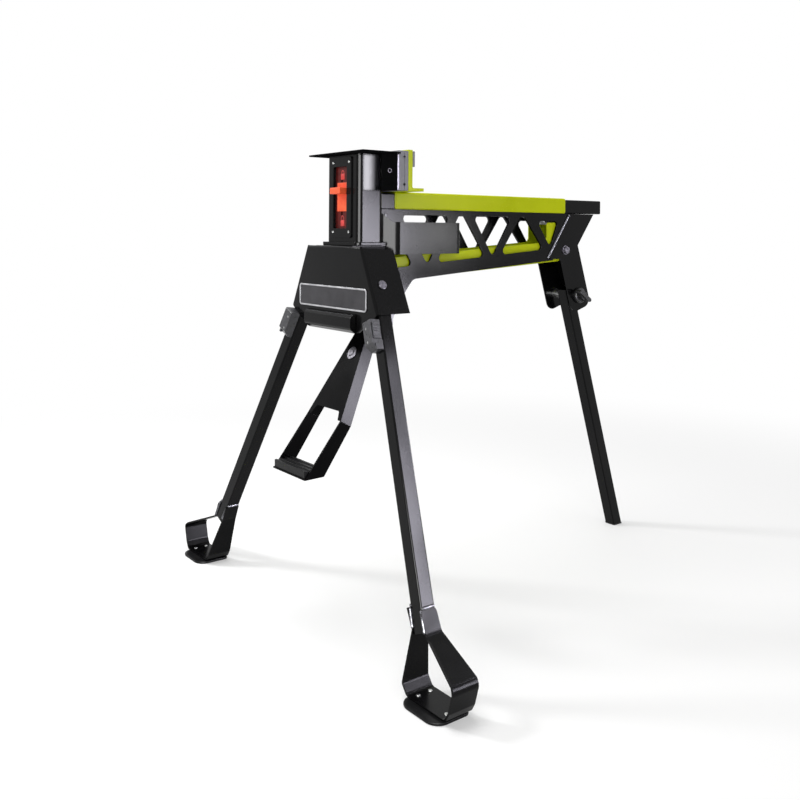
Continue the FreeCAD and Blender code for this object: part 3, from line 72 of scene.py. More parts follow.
def linear(hexColour):
    # sRGB hex to the linear values that Blender's shaders use
    values = []
    for i in (0, 2, 4):
        channel = int(hexColour.lstrip("#")[i:i + 2], 16) / 255
        values.append(channel / 12.92 if channel <= 0.04045 else ((channel + 0.055) / 1.055) ** 2.4)
    return values + [1]


def addNode(tree, kind, settings=None, links=None):
    node = tree.nodes.new(kind)
    for key, value in (settings or {}).items():
        if isinstance(key, int) or key in node.inputs:      # the Mix node's colours go by number
            node.inputs[key].default_value = value
        else:
            setattr(node, key, value)
    for key, source in (links or {}).items():
        tree.links.new(source, node.inputs[key])
    return node


def newMaterial(name):
    material = bpy.data.materials.new(name)
    material.use_nodes = True
    tree = material.node_tree
    tree.nodes.clear()
    return material, tree


noiseSpan = {"From Min": 0.3, "From Max": 0.7}      # a noise texture seldom leaves this span
reliefHeight = {"coat": 0.0002, "metal": 0.0001, "plastic": 0.0003}      # from the lows to the highs, in metres
speck = {"full": 0.86, "cover": 0.6}      # the noise at which a speck is full, and how much of the coat it hides


def finishSurface(material, tree, shader):
    addNode(tree, "ShaderNodeOutputMaterial", None, {"Surface": shader.outputs["BSDF"]})
    material.diffuse_color = shader.inputs["Base Color"].default_value
    return material


def powderCoat(name, look):
    # colour with slow drift and fine dust specks, a gloss that drifts with it, and orange peel in the relief
    material, tree = newMaterial(name)
    place = addNode(tree, "ShaderNodeTexCoord").outputs["Object"]
    drift = addNode(tree, "ShaderNodeTexNoise", {"Scale": 1 / look["patchSize"], "Detail": 3.0}, {"Vector": place})
    peel = addNode(tree, "ShaderNodeTexNoise", {"Scale": 1 / look["peelSize"], "Detail": 1.0, "Roughness": 0.4},
                   {"Vector": place})
    specks = addNode(tree, "ShaderNodeTexNoise", {"Scale": 1 / look["speckSize"], "Detail": 0.0}, {"Vector": place})
    driftShare = addNode(tree, "ShaderNodeMapRange", noiseSpan, {"Value": drift.outputs["Fac"]})
    colour = addNode(tree, "ShaderNodeMix", {"data_type": "RGBA", 6: linear(look["dark"]), 7: linear(look["light"])},
                     {0: driftShare.outputs["Result"]})
    dustShare = addNode(tree, "ShaderNodeMapRange",
                        {"From Min": look["speckFrom"], "From Max": speck["full"], "To Max": speck["cover"]},
                        {"Value": specks.outputs["Fac"]})
    dusted = addNode(tree, "ShaderNodeMix", {"data_type": "RGBA", 7: linear(look["dust"])},
                     {0: dustShare.outputs["Result"], 6: colour.outputs[2]})
    gloss = addNode(tree, "ShaderNodeMapRange", {**noiseSpan, "To Min": look["smooth"], "To Max": look["rough"]},
                    {"Value": drift.outputs["Fac"]})
    bump = addNode(tree, "ShaderNodeBump", {"Strength": look["peel"], "Distance": reliefHeight["coat"]},
                   {"Height": peel.outputs["Fac"]})
    shader = addNode(tree, "ShaderNodeBsdfPrincipled",
                     {"Base Color": linear(look["light"]), "Specular IOR Level": look["specular"]},
                     {"Base Color": dusted.outputs[2], "Roughness": gloss.outputs["Result"],
                      "Normal": bump.outputs["Normal"]})
    return finishSurface(material, tree, shader)


def brightMetal(name, look):
    # bare or plated metal: darker blooms where the plating is thin, and fine marks from turning and handling
    material, tree = newMaterial(name)
    place = addNode(tree, "ShaderNodeTexCoord").outputs["Object"]
    bloom = addNode(tree, "ShaderNodeTexNoise", {"Scale": 1 / look["bloomSize"], "Detail": 4.0}, {"Vector": place})
    stretch = addNode(tree, "ShaderNodeMapping", {"Scale": look["stretch"]}, {"Vector": place})
    marks = addNode(tree, "ShaderNodeTexNoise", {"Scale": 1 / look["markSize"], "Detail": 2.0},
                    {"Vector": stretch.outputs["Vector"]})
    bloomShare = addNode(tree, "ShaderNodeMapRange", noiseSpan, {"Value": bloom.outputs["Fac"]})
    colour = addNode(tree, "ShaderNodeMix", {"data_type": "RGBA", 6: linear(look["dark"]), 7: linear(look["light"])},
                     {0: bloomShare.outputs["Result"]})
    gloss = addNode(tree, "ShaderNodeMapRange", {"To Min": look["smooth"], "To Max": look["rough"]},
                    {"Value": marks.outputs["Fac"]})
    bump = addNode(tree, "ShaderNodeBump", {"Strength": look["relief"], "Distance": reliefHeight["metal"]},
                   {"Height": marks.outputs["Fac"]})
    shader = addNode(tree, "ShaderNodeBsdfPrincipled", {"Base Color": linear(look["light"]), "Metallic": 1.0},
                     {"Base Color": colour.outputs[2], "Roughness": gloss.outputs["Result"],
                      "Normal": bump.outputs["Normal"]})
    return finishSurface(material, tree, shader)


def mouldedPlastic(name, look):
    # moulded or cast: the grain of the mould, faint flow streaks, and paler bloom on the high spots
    material, tree = newMaterial(name)
    place = addNode(tree, "ShaderNodeTexCoord").outputs["Object"]
    flow = addNode(tree, "ShaderNodeTexNoise", {"Scale": 1 / look["flowSize"], "Detail": 3.0, "Distortion": 0.6},
                   {"Vector": place})
    grain = addNode(tree, "ShaderNodeTexVoronoi", {"feature": "SMOOTH_F1", "Scale": 1 / look["grainSize"],
                                                   "Smoothness": 0.6}, {"Vector": place})
    flowShare = addNode(tree, "ShaderNodeMapRange", noiseSpan, {"Value": flow.outputs["Fac"]})
    colour = addNode(tree, "ShaderNodeMix", {"data_type": "RGBA", 6: linear(look["dark"]), 7: linear(look["light"])},
                     {0: flowShare.outputs["Result"]})
    bloomShare = addNode(tree, "ShaderNodeMapRange", {"From Min": 0.5, "From Max": 0.0, "To Max": look["bloom"]},
                         {"Value": grain.outputs["Distance"]})
    bloomed = addNode(tree, "ShaderNodeMix", {"data_type": "RGBA", 7: linear(look["dust"])},
                      {0: bloomShare.outputs["Result"], 6: colour.outputs[2]})
    gloss = addNode(tree, "ShaderNodeMapRange", {**noiseSpan, "To Min": look["smooth"], "To Max": look["rough"]},
                    {"Value": flow.outputs["Fac"]})
    bump = addNode(tree, "ShaderNodeBump", {"Strength": look["relief"], "Distance": reliefHeight["plastic"]},
                   {"Height": grain.outputs["Distance"]})
    shader = addNode(tree, "ShaderNodeBsdfPrincipled",
                     {"Base Color": linear(look["light"]), "Specular IOR Level": look["specular"]},
                     {"Base Color": bloomed.outputs[2], "Roughness": gloss.outputs["Result"],
                      "Normal": bump.outputs["Normal"]})
    return finishSurface(material, tree, shader)


# Polyester powder coat on steel, sprayed and baked: deep and glossy, with a soft orange peel. The peel is
# really about 1 mm across, drawn at 3 mm so that it shows.
blackPaint = powderCoat("gloss_black_powder_coat", {
    "dark": "#070708", "light": "#0D0D0E", "dust": "#151517", "patchSize": 0.12, "peelSize": 0.003,
    "speckSize": 0.0022, "speckFrom": 0.72, "smooth": 0.13, "rough": 0.19, "peel": 0.03, "specular": 0.1})
# The top plate and the fixed jaw have a coat textured against slipping: matt, with a coarser grain
texturedPaint = powderCoat("textured_black_powder_coat", {
    "dark": "#0C0C0D", "light": "#131314", "dust": "#1E1E20", "patchSize": 0.08, "peelSize": 0.0016,
    "speckSize": 0.002, "speckFrom": 0.68, "smooth": 0.5, "rough": 0.65, "peel": 0.3, "specular": 0.0})
# Straps of the feet: the same coat over hot-bent steel, softer in its gloss
strapPaint = powderCoat("satin_black_powder_coat", {
    "dark": "#060607", "light": "#0C0C0D", "dust": "#18181A", "patchSize": 0.05, "peelSize": 0.003,
    "speckSize": 0.0022, "speckFrom": 0.7, "smooth": 0.2, "rough": 0.27, "peel": 0.04, "specular": 0.08})
# The pedal's coat, worn dull by boots
pedalPaint = powderCoat("worn_black_powder_coat", {
    "dark": "#070708", "light": "#0D0D0E", "dust": "#151517", "patchSize": 0.1, "peelSize": 0.003,
    "speckSize": 0.0022, "speckFrom": 0.72, "smooth": 0.15, "rough": 0.22, "peel": 0.03, "specular": 0.035})
# The same coat in lime: the pigment covers thinner, so it drifts more from place to place
limePaint = powderCoat("lime_powder_coat", {
    "dark": "#BDC909", "light": "#CDD812", "dust": "#D2DB2A", "patchSize": 0.15, "peelSize": 0.003,
    "speckSize": 0.003, "speckFrom": 0.7, "smooth": 0.26, "rough": 0.34, "peel": 0.05, "specular": 0.035})
# Enamel brushed on the plate behind the switch: dark red, a little uneven from place to place
redEnamel = powderCoat("dark_red_enamel", {
    "dark": "#480C0A", "light": "#641410", "dust": "#7A2018", "patchSize": 0.012, "peelSize": 0.002,
    "speckSize": 0.0016, "speckFrom": 0.64, "smooth": 0.3, "rough": 0.45, "peel": 0.15, "specular": 0.12})
# Paler enamel of the signs on that plate
signEnamel = powderCoat("pale_red_sign_enamel", {
    "dark": "#CF3B3A", "light": "#E2504C", "dust": "#F0847C", "patchSize": 0.006, "peelSize": 0.0016,
    "speckSize": 0.0012, "speckFrom": 0.62, "smooth": 0.3, "rough": 0.45, "peel": 0.1, "specular": 0.12})
# Enamelled aluminium of the badge: charcoal, even, satin
badgeFace = powderCoat("charcoal_enamel_on_aluminium", {
    "dark": "#333235", "light": "#403F42", "dust": "#545357", "patchSize": 0.03, "peelSize": 0.002,
    "speckSize": 0.0018, "speckFrom": 0.66, "smooth": 0.3, "rough": 0.42, "peel": 0.08, "specular": 0.15})
# Electroplated zinc on screws and pins: bright, turned, with faint darker blooms of 6 mm
zincPlate = brightMetal("bright_zinc_plate", {
    "dark": "#8E8F8F", "light": "#C8C9C7", "bloomSize": 0.006, "markSize": 0.001, "stretch": (1, 1, 4),
    "smooth": 0.2, "rough": 0.42, "relief": 0.1})
# Blackened steel of the bolts, the pedal's boss and the jaw's trim: dark, worn to bare metal on the high spots
blackenedSteel = brightMetal("blackened_steel", {
    "dark": "#3A393C", "light": "#6C6A70", "bloomSize": 0.004, "markSize": 0.001, "stretch": (1, 3, 3),
    "smooth": 0.25, "rough": 0.45, "relief": 0.15})
# Oiled spring wire, drawn: dark with a wet gloss
springWire = brightMetal("oiled_spring_wire", {
    "dark": "#38383B", "light": "#5C5D60", "bloomSize": 0.008, "markSize": 0.0008, "stretch": (4, 1, 1),
    "smooth": 0.22, "rough": 0.38, "relief": 0.1})
# Aluminium rolled round the badge's edge: bright, with fine lines along it
badgeRim = brightMetal("bright_rolled_aluminium", {
    "dark": "#A4A4A7", "light": "#CFCFD2", "bloomSize": 0.02, "markSize": 0.0008, "stretch": (0.2, 1, 1),
    "smooth": 0.25, "rough": 0.4, "relief": 0.06})
# Weld metal under a thin coat: dark silver, with the scale of the weld showing
weldMetal = brightMetal("coated_weld_bead", {
    "dark": "#2E2E31", "light": "#77777B", "bloomSize": 0.004, "markSize": 0.0012, "stretch": (1, 1, 1),
    "smooth": 0.22, "rough": 0.4, "relief": 0.3})
# Cast urethane of the jaw pads: dull mid grey, pebbled with 2 mm pebbles, chalky on their tops
padUrethane = mouldedPlastic("cast_grey_urethane", {
    "dark": "#5A5A5F", "light": "#707075", "dust": "#8C8C90", "flowSize": 0.03, "grainSize": 0.002,
    "bloom": 0.35, "smooth": 0.5, "rough": 0.65, "relief": 0.3, "specular": 0.35})
# Injection-moulded ABS, even and slightly waxy
orangeAbs = mouldedPlastic("moulded_orange_abs", {
    "dark": "#F0522B", "light": "#FF6A3D", "dust": "#FF8A5E", "flowSize": 0.02, "grainSize": 0.0015,
    "bloom": 0.12, "smooth": 0.3, "rough": 0.42, "relief": 0.06, "specular": 0.2})
# Glass-filled nylon of the latches: mid grey, streaked by the fibres, satin
latchNylon = mouldedPlastic("glass_filled_grey_nylon", {
    "dark": "#2C2C2F", "light": "#3F3F43", "dust": "#5A5A5E", "flowSize": 0.008, "grainSize": 0.0012,
    "bloom": 0.2, "smooth": 0.26, "rough": 0.4, "relief": 0.15, "specular": 0.4})
# The same nylon in black, for the knob, the leg's plug and the hidden guides
blackNylon = mouldedPlastic("moulded_black_nylon", {
    "dark": "#0E0E0F", "light": "#1A1A1C", "dust": "#2C2C2F", "flowSize": 0.015, "grainSize": 0.0012,
    "bloom": 0.15, "smooth": 0.32, "rough": 0.46, "relief": 0.2, "specular": 0.35})
# Moulded rubber of the feet, the tread and the bumper: dull, dark, with a chalky bloom
soleRubber = mouldedPlastic("dull_black_rubber", {
    "dark": "#0C0C0D", "light": "#161617", "dust": "#28282A", "flowSize": 0.02, "grainSize": 0.0018,
    "bloom": 0.2, "smooth": 0.3, "rough": 0.42, "relief": 0.2, "specular": 0.12})
print("materials made")


# Every solid gets a copy with its edges rounded as rolled, cut or moulded edges are

mending = {"merge": 0.00002, "flat": 0.6}      # metres within which points are one, degrees within which faces are


def clearSelection():
    if bpy.context.object and bpy.context.object.mode != "OBJECT":
        bpy.ops.object.mode_set(mode="OBJECT")
    bpy.ops.object.select_all(action="DESELECT")


def makeActive(piece):
    clearSelection()
    piece.select_set(True)
    bpy.context.view_layer.objects.active = piece


def placeOn(piece, body, material):
    piece.data.materials.clear()
    piece.data.materials.append(material)
    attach(piece, body)


def roundEdges(piece, width, segments=2, angle=32):
    makeActive(piece)
    bevel = piece.modifiers.new("rounded edges", "BEVEL")
    bevel.width = width
    bevel.segments = segments
    bevel.limit_method = "ANGLE"
    bevel.angle_limit = math.radians(angle)
    bpy.ops.object.modifier_apply(modifier=bevel.name)
    bpy.ops.object.shade_smooth_by_angle(angle=math.radians(angle))
    level = piece.modifiers.new("level faces", "WEIGHTED_NORMAL")      # keeps the large faces flat in the light
    level.keep_sharp = True
    bpy.ops.object.modifier_apply(modifier=level.name)


def dressSolid(nodeName, edge, material):
    solid = solids[nodeName]
    piece = bpy.data.objects.new(nodeName + "_finished", solid.data.copy())
    scene.collection.objects.link(piece)
    makeActive(piece)
    bpy.ops.mesh.customdata_custom_splitnormals_clear()
    bpy.ops.object.mode_set(mode="EDIT")
    bpy.ops.mesh.select_all(action="SELECT")
    bpy.ops.mesh.remove_doubles(threshold=mending["merge"])
    bpy.ops.mesh.dissolve_limited(angle_limit=math.radians(mending["flat"]))
    bpy.ops.object.mode_set(mode="OBJECT")
    roundEdges(piece, edge)
    placeOn(piece, solid["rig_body"], material)
    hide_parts(nodeName)
    return piece


finishes = {
    # slot: finish, rounding of the edges, nodes
    "black_paint": (blackPaint, 0.001, [
        "post", "post_collar", "switch_bezel", "rail", "truss_plate_right", "truss_plate_left", "base_housing",
        "front_lip", "leg_cheek_right", "leg_cheek_left", "front_leg_right", "front_leg_left", "rear_bracket",
        "bracket_sleeve", "rear_leg", "carry_handle"]),
    "green_paint": (limePaint, 0.0007, ["saddle", "jaw_plate", "pull_yoke"]),
    "zinc": (zincPlate, 0.0003, [
        "drive_bar", "clutch_carrier", "clutch_plates", "foot_rivets_right", "foot_rivets_left",
        "latch_screws_right", "latch_screws_left", "rear_leg_spacers", "rear_pivot_bolt", "pedal_pivot_pin",
        "link_pin", "post_screws", "jaw_screws", "lock_shuttle"]),
    "jaw_pad": (padUrethane, 0.0007, ["fixed_jaw_pad", "moving_jaw_pad", "rear_jaw_pad"]),
    "orange_plastic": (orangeAbs, 0.0006, ["lock_slider"]),
    "red_plate": (redEnamel, 0.0002, ["switch_back_plate"]),
    "black_plastic": (blackNylon, 0.0006, ["yoke_glides", "rear_leg_plug", "rear_knob"]),
    "latch_plastic": (latchNylon, 0.0004, [
        "latch_body_right", "latch_body_left", "latch_button_right", "latch_button_left"]),
    "badge_metal": (badgeFace, 0.0003, ["front_badge"]),
    "foot_rubber": (soleRubber, 0.0006, ["foot_pad_right", "foot_pad_left", "pedal_tread", "pedal_bumper"]),
    "spring_steel": (springWire, 0.0001, ["pedal_spring"]),
}
softEdges = {
    # folded, drawn or moulded edges rounder than the rest of their finish
    "post_collar": 0.0028, "base_housing": 0.0018, "carry_handle": 0.0013, "front_lip": 0.0018,
    "foot_pad_right": 0.0018, "foot_pad_left": 0.0018, "rail": 0.0016, "saddle": 0.0014,
    "latch_body_right": 0.0012, "latch_body_left": 0.0012, "rear_knob": 0.001, "truss_plate_right": 0.0012,
    "truss_plate_left": 0.0012, "switch_bezel": 0.0012,
}
ownFinish = {
    # node: finish, rounding of its edges, slot
    "leg_pivot_bolts": (blackenedSteel, 0.0008, "zinc"),
    "pedal_boss": (blackenedSteel, 0.001, "zinc"),
    "frame_bolts": (blackenedSteel, 0.0006, "zinc"),
    "top_plate": (texturedPaint, 0.001, "black_paint"),
    "fixed_jaw_bracket": (texturedPaint, 0.001, "black_paint"),
    "foot_strap_right": (strapPaint, 0.0017, "black_paint"),
    "foot_strap_left": (strapPaint, 0.0017, "black_paint"),
    "pedal_lever": (pedalPaint, 0.001, "black_paint"),
    "pedal_stirrup": (pedalPaint, 0.001, "black_paint"),
}
dressed = []
for slotName, (material, edge, names) in finishes.items():
    for nodeName in names:
        dressed.append(dressSolid(nodeName, softEdges.get(nodeName, edge), material))
for nodeName, (material, edge, slotName) in ownFinish.items():
    dressed.append(dressSolid(nodeName, edge, material))
print("solids dressed:", len(dressed))


# Badge: a plain charcoal field in a bright raised rim

badge = {"rim": 0.003, "rise": 0.0009, "corner": 0.0065, "cornerSteps": 6, "edge": 0.0004}


def makeBadgeRim():
    clearSelection()
    low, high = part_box("front_badge")
    bpy.ops.mesh.primitive_plane_add(size=1, location=(0, low[1], (low[2] + high[2]) / 2),
                                     rotation=(math.radians(90), 0, 0))
    rim = bpy.context.object
    rim.name = "badge_rim"
    rim.scale = (high[0] - low[0], high[2] - low[2], 1)
    bpy.ops.object.transform_apply(location=True, rotation=True, scale=True)
    bpy.ops.object.mode_set(mode="EDIT")
    bpy.ops.mesh.select_all(action="SELECT")
    bpy.ops.mesh.bevel(offset=badge["corner"], segments=badge["cornerSteps"], affect="VERTICES")
    bpy.ops.mesh.select_all(action="SELECT")
    bpy.ops.mesh.inset(thickness=badge["rim"])
    bpy.ops.mesh.delete(type="FACE")
    bpy.ops.object.mode_set(mode="OBJECT")
    wall = rim.modifiers.new("rise", "SOLIDIFY")
    wall.thickness = badge["rise"]
    wall.offset = 1
    bpy.ops.object.modifier_apply(modifier=wall.name)
    roundEdges(rim, badge["edge"])
    placeOn(rim, "frame", badgeRim)


makeBadgeRim()
print("badge made")


# Padlock signs on the switch's back plate

padlock = {"x": -0.0035, "topSign": 0.8225, "bottomSign": 0.7325, "bodyWidth": 0.0125, "bodyHeight": 0.0115,
           "shackle": 0.0042, "wire": 0.0013, "leg": 0.0045, "openLift": 0.9, "shutLift": 0.35, "tuck": 0.0005,
           "thickness": 0.0004, "flatten": 0.28, "edge": 0.00012}


def makePadlock(name, z, opened):
    # z is the bottom of the lock's body, and the sign stands 0.2 mm proud, clear of the slider
    x = padlock["x"]
    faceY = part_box("switch_back_plate")[0][1]
    clearSelection()
    bpy.ops.mesh.primitive_cube_add(size=1, location=(x, faceY, z + padlock["bodyHeight"] / 2))
    body = bpy.context.object
    body.scale = (padlock["bodyWidth"], padlock["thickness"], padlock["bodyHeight"])
    bpy.ops.object.transform_apply(location=True, rotation=True, scale=True)
    bpy.ops.object.mode_set(mode="EDIT")
    bpy.ops.mesh.select_all(action="SELECT")
    bpy.ops.mesh.bevel(offset=padlock["edge"], segments=2)
    bpy.ops.object.mode_set(mode="OBJECT")
    top = z + padlock["bodyHeight"]
    lift = padlock["leg"] * padlock["openLift" if opened else "shutLift"]
    bpy.ops.mesh.primitive_torus_add(location=(x, faceY, top + lift), rotation=(math.radians(90), 0, 0),
                                     major_radius=padlock["shackle"], minor_radius=padlock["wire"] / 2,
                                     major_segments=24, minor_segments=8)
    ring = bpy.context.object
    ring.scale = (1, 1, padlock["flatten"])
    bpy.ops.object.transform_apply(location=True, rotation=True, scale=True)
    bpy.ops.object.mode_set(mode="EDIT")
    bpy.ops.mesh.select_all(action="SELECT")
    bpy.ops.mesh.bisect(plane_co=(x, faceY, top + lift), plane_no=(0, 0, 1), use_fill=False, clear_inner=True)
    bpy.ops.mesh.extrude_region_move(TRANSFORM_OT_translate={"value": (0, 0, -lift - padlock["tuck"])})
    bpy.ops.object.mode_set(mode="OBJECT")
    body.select_set(True)
    bpy.context.view_layer.objects.active = body
    bpy.ops.object.join()
    body.name = name
    bpy.ops.object.shade_smooth_by_angle(angle=math.radians(40))
    placeOn(body, "frame", signEnamel)


makePadlock("padlock_sign_top", padlock["topSign"], False)
makePadlock("padlock_sign_bottom", padlock["bottomSign"], True)
print("signs made")


# Fixed jaw: the ground ends of its plate, and a rolled eyelet in each wing

jawTrim = {
    "edgeFrom": 0.067, "edgeTo": 0.0706, "proud": 0.0002, "margin": 0.0012, "stripEdge": 0.0001,
    "eyeletY": 0.04875, "eyeletRise": 0.037, "eyeletSides": 32, "eyeletEdge": 0.00012,
    # rise over the wing and radius, from the rim over the flange to the barrel in the hole
    "eyelet": [(-0.0004, 0.0045), (0.0003, 0.0045), (0.0006, 0.0042), (0.0006, 0.0036), (-0.0004, 0.0031)],
}


def makeEyelet(side, name, centre):
    profile = jawTrim["eyelet"]
    start = (centre[0] + side * profile[0][0], centre[1], centre[2])
    clearSelection()
    bpy.ops.mesh.primitive_circle_add(vertices=jawTrim["eyeletSides"], radius=profile[0][1], fill_type="NOTHING",
                                      location=start, rotation=(0, math.radians(90), 0))
    eyelet = bpy.context.object
    eyelet.name = "jaw_eyelet_" + name
    bpy.ops.object.transform_apply(location=True, rotation=True, scale=True)
    bpy.ops.object.mode_set(mode="EDIT")
    bpy.ops.mesh.select_all(action="SELECT")
    for (fromRise, fromRadius), (toRise, toRadius) in zip(profile, profile[1:] + profile[:1]):
        bpy.ops.mesh.extrude_region_move(TRANSFORM_OT_translate={"value": (side * (toRise - fromRise), 0, 0)})
        share = toRadius / fromRadius
        bpy.ops.transform.resize(value=(1, share, share), center_override=centre)
    bpy.ops.mesh.select_all(action="SELECT")
    bpy.ops.mesh.remove_doubles(threshold=mending["merge"])
    bpy.ops.mesh.normals_make_consistent(inside=False)
    bpy.ops.object.mode_set(mode="OBJECT")
    roundEdges(eyelet, jawTrim["eyeletEdge"])
    placeOn(eyelet, "frame", blackenedSteel)


def makeJawTrim(side, name):
    low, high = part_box("fixed_jaw_bracket")
    face = side * high[0]
    middle = postFront + (jawTrim["edgeFrom"] + jawTrim["edgeTo"]) / 2
    clearSelection()
    bpy.ops.mesh.primitive_cube_add(size=1, location=(face, middle, (low[2] + high[2]) / 2))
    strip = bpy.context.object
    strip.name = "jaw_plate_edge_" + name
    strip.scale = (jawTrim["proud"] * 2, jawTrim["edgeTo"] - jawTrim["edgeFrom"],
                   high[2] - low[2] - 2 * jawTrim["margin"])
    bpy.ops.object.transform_apply(location=True, rotation=True, scale=True)
    roundEdges(strip, jawTrim["stripEdge"])
    placeOn(strip, "frame", blackenedSteel)
    makeEyelet(side, name, (face, postFront + jawTrim["eyeletY"], low[2] + jawTrim["eyeletRise"]))


makeJawTrim(1, "right")
makeJawTrim(-1, "left")
print("jaw trim made")


# Weld beads, rippled as a hand-held torch leaves them

weld = {"width": 0.0054, "ripple": 0.0028, "swell": 0.2, "endShare": 0.35}
frameWelds = {
    # both ends of each bead, in millimetres
    "bracket_weld": ((36.0, 608, 763.5), (36.0, 536.5, 664)),
    "handle_front_weld": ((37.5, 76.5, 703), (37.5, 76.5, 759)),
}
footWelds = {
    # the same on the right foot, mirrored for the left one
    "outer_corner": ((362.0, -84.4, 98), (347.6, -81.0, 129.5)),
    "inner_corner": ((331.6, -84.4, 97), (318.6, -80.0, 124.5)),
    "outer_top": ((348.4, -79.0, 131.2), (348.4, -54.0, 131.2)),
    "inner_top": ((317.2, -79.0, 126.0), (317.2, -54.0, 126.0)),
}


def makeWeld(name, start, end, body):
    curve = bpy.data.curves.new(name, "CURVE")
    curve.dimensions = "3D"
    curve.bevel_depth = weld["width"] / 2
    curve.bevel_resolution = 2
    curve.use_fill_caps = True
    start, end = Vector(start), Vector(end)
    count = max(2, int((end - start).length / (weld["ripple"] / 2)))
    points = [start.lerp(end, i / count) for i in range(count)] + [end]
    spline = curve.splines.new("POLY")
    spline.points.add(count)
    for i, point in enumerate(points):
        spline.points[i].co = (*point, 1)
        swell = weld["swell"] if i % 2 else -weld["swell"] / 2
        spline.points[i].radius = weld["endShare"] if i in (0, count) else 1 + swell
    bead = bpy.data.objects.new(name, curve)
    scene.collection.objects.link(bead)
    makeActive(bead)
    bpy.ops.object.convert(target="MESH")
    bpy.ops.object.shade_smooth()
    placeOn(bpy.context.object, body, weldMetal)


for name, (start, end) in frameWelds.items():
    makeWeld(name, benchPoint(*start), benchPoint(*end), "frame")
for side, sideName in ((1, "right"), (-1, "left")):
    for place, (start, end) in footWelds.items():
        makeWeld("foot_weld_" + place + "_" + sideName, benchPoint(side * start[0], *start[1:]),
                 benchPoint(side * end[0], *end[1:]), sideName + "_leg")
print("welds made")


# Camera, floor and studio light

camera = {"place": (1.432527, -0.965061, 0.725226), "turn": (90, -0.387, 52.326), "lens": 40.174,
          "sensor": 36, "shiftY": -0.21221, "nearest": 0.05}


def makeCamera():
    data = bpy.data.cameras.new("photo camera")
    data.lens = camera["lens"]
    data.sensor_width = camera["sensor"]
    data.shift_y = camera["shiftY"]
    data.clip_start = camera["nearest"]
    place = bpy.data.objects.new("photo camera", data)
    x, y, z = camera["place"]
    place.location = (x, y + postFront, z)
    place.rotation_euler = [math.radians(angle) for angle in camera["turn"]]
    scene.collection.objects.link(place)
    scene.camera = place


def seenDirectly(tree):
    # 1 for rays that come straight from the camera, off metal or through glass
    path = addNode(tree, "ShaderNodeLightPath")
    glossy = addNode(tree, "ShaderNodeMath", {"operation": "MAXIMUM"},
                     {0: path.outputs["Is Camera Ray"], 1: path.outputs["Is Glossy Ray"]})
    through = addNode(tree, "ShaderNodeMath", {"operation": "MAXIMUM"},
                      {0: glossy.outputs[0], 1: path.outputs["Is Transmission Ray"]})
    return through.outputs[0]


floor = {"size": 60, "white": "#FFFFFF", "glowNear": 0.35, "glowFar": 1.0, "nearRadius": 0.75, "farRadius": 2.2}


def makeFloor():
    # the paint keeps the bench's shadow, and gives way to the white background away from the bench
    clearSelection()
    bpy.ops.mesh.primitive_plane_add(size=floor["size"], location=(0, 0, 0))
    plane = bpy.context.object
    plane.name = "studio_floor"
    material, tree = newMaterial("pale_studio_floor")
    place = addNode(tree, "ShaderNodeTexCoord").outputs["Object"]
    distance = addNode(tree, "ShaderNodeVectorMath", {"operation": "LENGTH"}, {0: place})
    spread = addNode(tree, "ShaderNodeMapRange", {
        "interpolation_type": "SMOOTHSTEP", "From Min": floor["nearRadius"], "From Max": floor["farRadius"],
        "To Min": floor["glowNear"], "To Max": floor["glowFar"]}, {"Value": distance.outputs["Value"]})
    share = addNode(tree, "ShaderNodeMath", {"operation": "MULTIPLY"},
                    {0: seenDirectly(tree), 1: spread.outputs["Result"]})
    paint = addNode(tree, "ShaderNodeBsdfDiffuse", {"Color": linear(floor["white"])})
    glow = addNode(tree, "ShaderNodeEmission", {"Color": (1, 1, 1, 1), "Strength": 1.0})
    mix = addNode(tree, "ShaderNodeMixShader", None, {0: share.outputs[0], 1: paint.outputs[0], 2: glow.outputs[0]})
    addNode(tree, "ShaderNodeOutputMaterial", None, {"Surface": mix.outputs[0]})
    plane.data.materials.append(material)


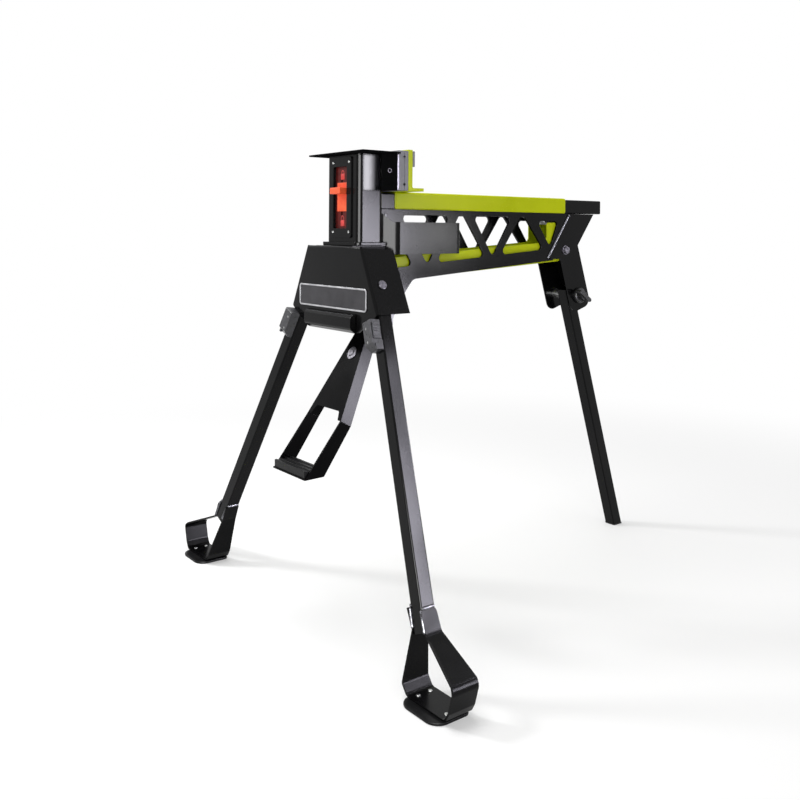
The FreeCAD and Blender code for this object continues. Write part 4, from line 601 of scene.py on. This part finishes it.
studio = {
    "fill": 0.4,      # strength of the white surroundings as light on the bench
    "lamps": {
        # name: place, aimed at, width, height, watts, colour, lights the object and floor
        "top_softbox": ((-0.3, -0.5, 2.7), (0, 0, 0.5), 1.6, 1.6, 40, "#FFFFFF", True),
        "front_left_softbox": ((-1.9, -1.9, 1.9), (0, -0.2, 0.3), 0.45, 0.45, 38, "#FFFFFF", True),
        "right_softbox": ((2.6, -1.9, 1.6), (0, 0, 0.6), 0.9, 0.9, 14, "#FFFFFF", True),
        # seen only in the gloss of the coated faces, as cards held beside the bench are
        "right_card_low": ((2.344, 1.235, 0.68), (0.038, -0.353, 0.68), 0.36, 0.36, 25, "#EDEAF8", False),
        "right_card_middle": ((2.396, 1.164, 1.04), (0.038, -0.353, 1.04), 0.2, 0.32, 12, "#EDEAF8", False),
        "right_card_high": ((2.337, 1.253, 1.42), (0.038, -0.353, 1.42), 0.29, 0.45, 23, "#EDEAF8", False),
        "handle_card": ((2.122, 1.517, 0.7), (0.038, -0.353, 0.7), 0.3, 0.2, 3.5, "#F4F4F4", False),
        "leg_card": ((2.177, 1.454, 1.85), (0.038, -0.353, 1.85), 0.27, 0.5, 8, "#EDEAF8", False),
        "edge_card": ((1.592, -2.049, 0.8), (0.038, -0.353, 0.8), 1.9, 1.0, 170, "#FFFFFF", False),
        "pedal_card": ((0.454, 0.062, 0.458), (0.032, -0.365, 0.458), 0.12, 0.22, 6.5, "#EDEAF8", False),
        # narrow cards between the post and the fixed jaw's wing, each dimmer towards the jaw
        "post_card_near": (benchPoint(82.8, 38, 838), benchPoint(54.5, 38, 838), 0.014, 0.07, 0.24, "#F4F2FA",
                           False),
        "post_card_middle": (benchPoint(82.8, 48, 838), benchPoint(54.5, 48, 838), 0.006, 0.07, 0.07, "#F4F2FA",
                             False),
        "post_card_far": (benchPoint(82.8, 54, 838), benchPoint(54.5, 54, 838), 0.006, 0.07, 0.03, "#F4F2FA",
                          False),
    },
}


def makeWorld():
    world = bpy.data.worlds.new("white studio")
    scene.world = world
    world.use_nodes = True
    tree = world.node_tree
    tree.nodes.clear()
    strength = addNode(tree, "ShaderNodeMapRange", {"To Min": studio["fill"], "To Max": 1.0},
                       {"Value": seenDirectly(tree)})
    back = addNode(tree, "ShaderNodeBackground", {"Color": (1, 1, 1, 1)}, {"Strength": strength.outputs["Result"]})
    addNode(tree, "ShaderNodeOutputWorld", None, {"Surface": back.outputs[0]})


def makeLamps():
    for name, (place, target, width, height, watts, colour, lightsMatt) in studio["lamps"].items():
        data = bpy.data.lights.new(name, "AREA")
        data.shape = "RECTANGLE"
        data.size = width
        data.size_y = height
        data.energy = watts
        data.color = linear(colour)[:3]
        lamp = bpy.data.objects.new(name, data)
        lamp.location = place
        aim = Vector(target) - Vector(place)
        lamp.rotation_euler = aim.to_track_quat("-Z", "Y").to_euler()
        lamp.visible_diffuse = lightsMatt
        lamp.visible_camera = False
        scene.collection.objects.link(lamp)


makeCamera()
makeFloor()
makeWorld()
makeLamps()
scene.view_settings.view_transform = "Standard"
print("studio made")
